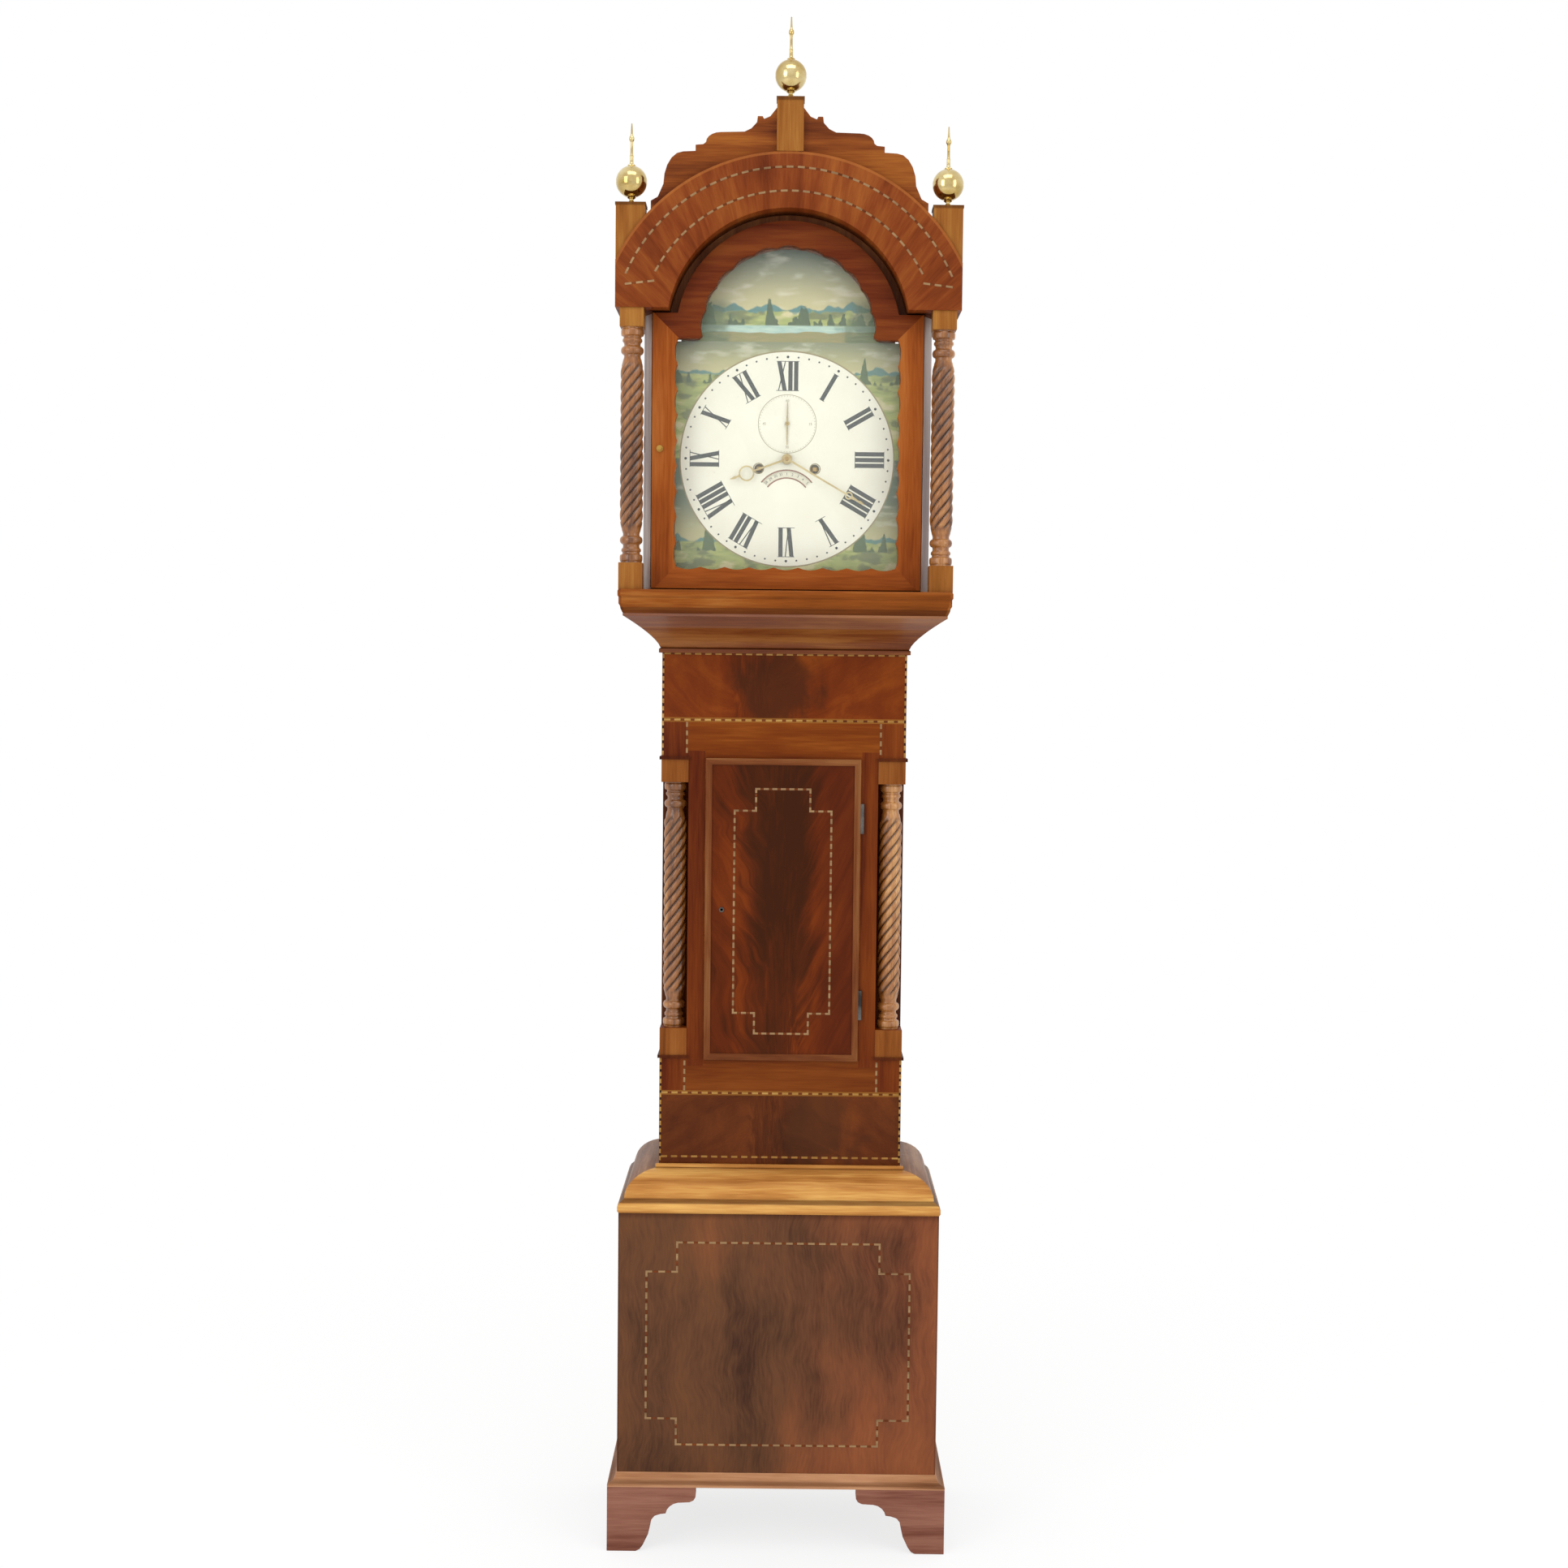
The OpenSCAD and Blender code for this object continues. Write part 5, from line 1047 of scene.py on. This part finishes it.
ink = flat_paint("black_paint", "141414", "2e2e2c")
faded_gold = flat_paint("faded_gold_paint", "786a40", "9a8a58")
red_brown = flat_paint("red_brown_paint", "7a4a34", "96644a")
work = bmesh.new()
for hour, text in enumerate(NUMERALS):
    turn = 2 * math.pi * hour / 12
    width = sum(ADVANCE[letter] for letter in text)
    left = -width / 2
    for letter in text:
        for low_x, high_x, thick in letter_strokes(letter, left):
            half = thick / 2
            add_plate(work, [(low_x - half, LETTER_FOOT), (low_x + half, LETTER_FOOT),
                             (high_x + half, LETTER_HEAD), (high_x - half, LETTER_HEAD)], turn)
        left += ADVANCE[letter]
    for level in (LETTER_FOOT - 0.2, LETTER_HEAD - 0.7):
        add_plate(work, [(-width / 2, level), (width / 2, level), (width / 2, level + 0.9),
                         (-width / 2, level + 0.9)], turn, INK_THICK * 0.8)
numerals = end_plates(work, "hour_numerals", "case", ink)
print("numerals", len(numerals.data.polygons), "faces")

# %% [markdown]
# Dots repeat round circles, so a second small tree stands a flat disc at every
# step of a circle. The rings are plain flat bands, and the seconds figures and dates are
# text that is turned into a mesh.


# %% Dots and rings
def dot_tree():
    tree, bench, wires = start_tree("ring_of_dots", {"Start": "Geometry", "Ring": "Float", "Dot": "Float",
                                                     "Count": "Int", "Middle": "Vector",
                                                     "Finish": "Material"})
    _, ring, dot, count, middle, finish = wires
    circle = bench.node("GeometryNodeMeshCircle", {}, {"Vertices": count, "Radius": ring})
    disc = bench.node("GeometryNodeMeshCylinder", {}, {"Vertices": 10, "Radius": dot, "Depth": 0.0004})
    laid = bench.node("GeometryNodeInstanceOnPoints", {}, {"Points": circle, "Instance": disc})
    stood = bench.node("GeometryNodeTransform", {}, {"Geometry": laid, "Translation": middle,
                                                     "Rotation": (math.pi / 2, 0, 0)})
    end_tree(bench, stood, finish)
    return tree


dots = dot_tree()


def ring_of_dots(name, ring, dot, count, up, finish):
    made = run_tree(name, bpy.data.meshes.new("start"), dots,
                    {"Ring": ring, "Dot": dot, "Count": count, "Finish": finish,
                     "Middle": (0, DIAL_FACE + 0.14 * MM, DIAL_MIDDLE + up)})
    print(name, len(made.polygons), "faces")
    as_piece(name, made, "case", finish)


ring_of_dots("minute_dots", 0.156, 0.0015, 60, 0, ink)
ring_of_dots("hour_dots", 0.156, 0.0021, 12, 0, ink)
ring_of_dots("seconds_dots", 0.0425, 0.0006, 60, SECONDS_UP * MM, faded_gold)


def flat_ring(work, inner, outer, at=(0.0, 0.0), start=0.0, end=360.0, steps=96):
    """A flat band round a point of the dial, as short plates; sizes in millimetres."""
    for i in range(steps):
        a, b = (math.radians(start + (end - start) * j / steps) for j in (i, i + 1))
        add_plate(work, [(at[0] + r * math.cos(t), at[1] + r * math.sin(t))
                         for r, t in ((inner, a), (outer, a), (outer, b), (inner, b))])


work = bmesh.new()
flat_ring(work, 163.6, 165.6, steps=180)
flat_ring(work, 44.2, 45.0, (0.0, SECONDS_UP))
for side in (-1, 1):
    flat_ring(work, 7.2, 8.6, (side * 43.5, -14.3), steps=32)
end_plates(work, "gold_rings", "case", faded_gold)
work = bmesh.new()
for inner, outer in ((36.4, 38.6), (48.4, 50.6)):
    flat_ring(work, inner, outer, (0.0, DATE_UP), 38, 142, 40)
end_plates(work, "calendar_surround", "case", red_brown)
print("rings done")


# %% Figures for the seconds and the date
def add_figures(rows, name, body, face, finish):
    """Figures as (text, x, z, size, turn) in millimetres about the dial's middle."""
    work = bmesh.new()
    for text, x, z, size, turn in rows:
        curve = bpy.data.curves.new("figure", "FONT")
        curve.body, curve.size, curve.extrude = text, size * MM, 0.08 * MM
        curve.align_x, curve.align_y = "CENTER", "CENTER"
        curve.resolution_u = 3
        mesh = mesh_of(put("figure", curve))
        middle = Matrix.Translation((x * MM, face, DIAL_MIDDLE + z * MM))
        mesh.transform(middle @ Matrix.Rotation(turn, 4, "Y") @ Matrix.Rotation(math.pi / 2, 4, "X"))
        work.from_mesh(mesh)
        bpy.data.meshes.remove(mesh)
    end_plates(work, name, body, finish)


seconds_rows = [(text, 35.5 * math.sin(a), SECONDS_UP + 35.5 * math.cos(a), 5.5, 0.0)
                for text, a in (("60", 0), ("15", math.pi / 2), ("30", math.pi), ("45", -math.pi / 2))]
add_figures(seconds_rows, "seconds_figures", "case", DIAL_FACE + 0.02 * MM, faded_gold)
disc_low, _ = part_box("calendar_disc")
date_rows = []
for day in range(31):
    a = 2 * math.pi * day / 31
    date_rows.append((str(day + 1), 43.6 * math.sin(a), DATE_UP + 43.6 * math.cos(a), 5.6, a))
add_figures(date_rows, "date_figures", "calendar", disc_low.y, ink)
print("date figures on the disc at y =", round(disc_low.y, 4))

# %% [markdown]
# ## Everything else
# The movement, the weights, the pendulum and the fittings keep their solid shapes. They
# were drawn exactly, so they only need their metal.

# %% Movement and fittings
KEPT_SHAPES = (
    (brass, """front_plate back_plate going_great_wheel going_barrel strike_barrel strike_great_wheel
        centre_wheel third_wheel escape_wheel cannon_pinion minute_wheel hour_wheel pin_wheel
        gathering_wheel warning_wheel fly going_pulley strike_pulley pendulum_bob rating_nut
        hood_door_catch trunk_lock_bolt"""),
    (hand_brass, "minute_hand hour_hand seconds_hand"), (bell_metal, "bell"),
    (iron, "going_weight strike_weight"),
    (steel, "pallets pendulum_rod hammer rack rack_hook lifting_piece"),
    (glass, "hood_door_glass"), (gut, "going_line strike_line"), (old_brass, "trunk_door_fittings"),
    (flat_paint("calendar_paint", "d8d2b8", "e8e4d0"), "calendar_disc"),
)
PLAIN = {node: material for material, nodes in KEPT_SHAPES for node in nodes.split()}
for node, material in PLAIN.items():
    materials = frame["nodes"][node].data.materials
    materials.clear()
    materials.append(material)
print(len(PLAIN), "solid parts keep their shapes")

# %% [markdown]
# ## The gut lines
# A weight hangs on two falls of gut line. Their tops stay at the seatboard while their
# lower ends go down with the pulley. Each line here is cut into rings along its length
# and given its gut finish.

# %% Lines
for line, weight in (("going_line", "going_weight"), ("strike_line", "strike_weight")):
    low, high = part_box(line)
    mesh, work = open_copy(line)
    for level in range(1, 24):
        cut = low.z + (high.z - low.z) * level / 24
        bmesh.ops.bisect_plane(work, geom=work.verts[:] + work.edges[:] + work.faces[:],
                               plane_co=(0, 0, cut), plane_no=(0, 0, 1))
    work.to_mesh(mesh)
    work.free()
    smooth(mesh)
    piece = as_piece(line + "_gut", mesh, None, gut, [line])
    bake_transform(piece)
    print(line, round(high.z - low.z, 3), "m long")

# %% [markdown]
# ## Room and light
# The clock stands on a plain pale floor in a white studio. Two soft boxes in front and one
# above give the polish something broad to reflect. The world is white to the camera and to
# rays that a surface throws back, less so to other glossy rays, and softest to the rest.

# %% Floor
floor_mesh = bpy.data.meshes.new("floor")
floor_mesh.from_pydata([(-30, -30, 0), (30, -30, 0), (30, 30, 0), (-30, 30, 0)], [], [(0, 1, 2, 3)])
floor = put("floor", floor_mesh)
material = bpy.data.materials.new("pale_floor")
bench = own_bench(material)
to_camera = bench.node("ShaderNodeLightPath")
matt = bench.node("ShaderNodeBsdfDiffuse", {}, {"Color": (0.9, 0.9, 0.9, 1)})
white = bench.node("ShaderNodeEmission", {}, {"Color": (1, 1, 1, 1), "Strength": 1.0})
away = bench.distance(bench.node("ShaderNodeTexCoord", output=3))
whiteness = bench.ease(away, 0.4, 2.0) * 0.25 + 0.75
seen = bench.node("ShaderNodeMixShader", {}, {0: to_camera * whiteness, 1: matt, 2: white})
bench.node("ShaderNodeOutputMaterial", {}, {"Surface": seen})
floor_mesh.materials.append(material)
print("floor made")

# %% World and lamps
world = bpy.data.worlds.new("studio")
bpy.context.scene.world = world
bench = own_bench(world)
to_camera, to_gloss, thrown_back = bench.node("ShaderNodeLightPath", output=(0, 3, 5))
plain_sight = bench.math("MAXIMUM", to_camera + to_gloss * 0.5, thrown_back)
soft = bench.node("ShaderNodeBackground", {}, {"Color": (1, 1, 1, 1), "Strength": 0.33})
bright = bench.node("ShaderNodeBackground", {}, {"Color": (1, 1, 1, 1), "Strength": 1.0})
both = bench.node("ShaderNodeMixShader", {}, {0: plain_sight, 1: soft, 2: bright})
bench.node("ShaderNodeOutputWorld", {}, {"Surface": both})


def soft_box(name, place, target, width, height, power):
    lamp = bpy.data.lights.new(name, "AREA")
    lamp.shape, lamp.size, lamp.size_y, lamp.energy = "RECTANGLE", width, height, power
    holder = put(name, lamp)
    holder.location = place
    holder.rotation_euler = (Vector(target) - Vector(place)).to_track_quat("-Z", "Y").to_euler()


soft_box("left_soft_box", (-2.6, -3.0, 2.2), (0, 0, 1.3), 1.4, 2.4, 33)
soft_box("right_soft_box", (2.8, -2.6, 2.0), (0, 0, 1.2), 1.2, 2.4, 22)
soft_box("top_soft_box", (0.0, -1.6, 4.2), (0, 0, 1.2), 2.4, 1.2, 20)
bpy.context.scene.view_settings.view_transform = "Standard"
print("lamps made")
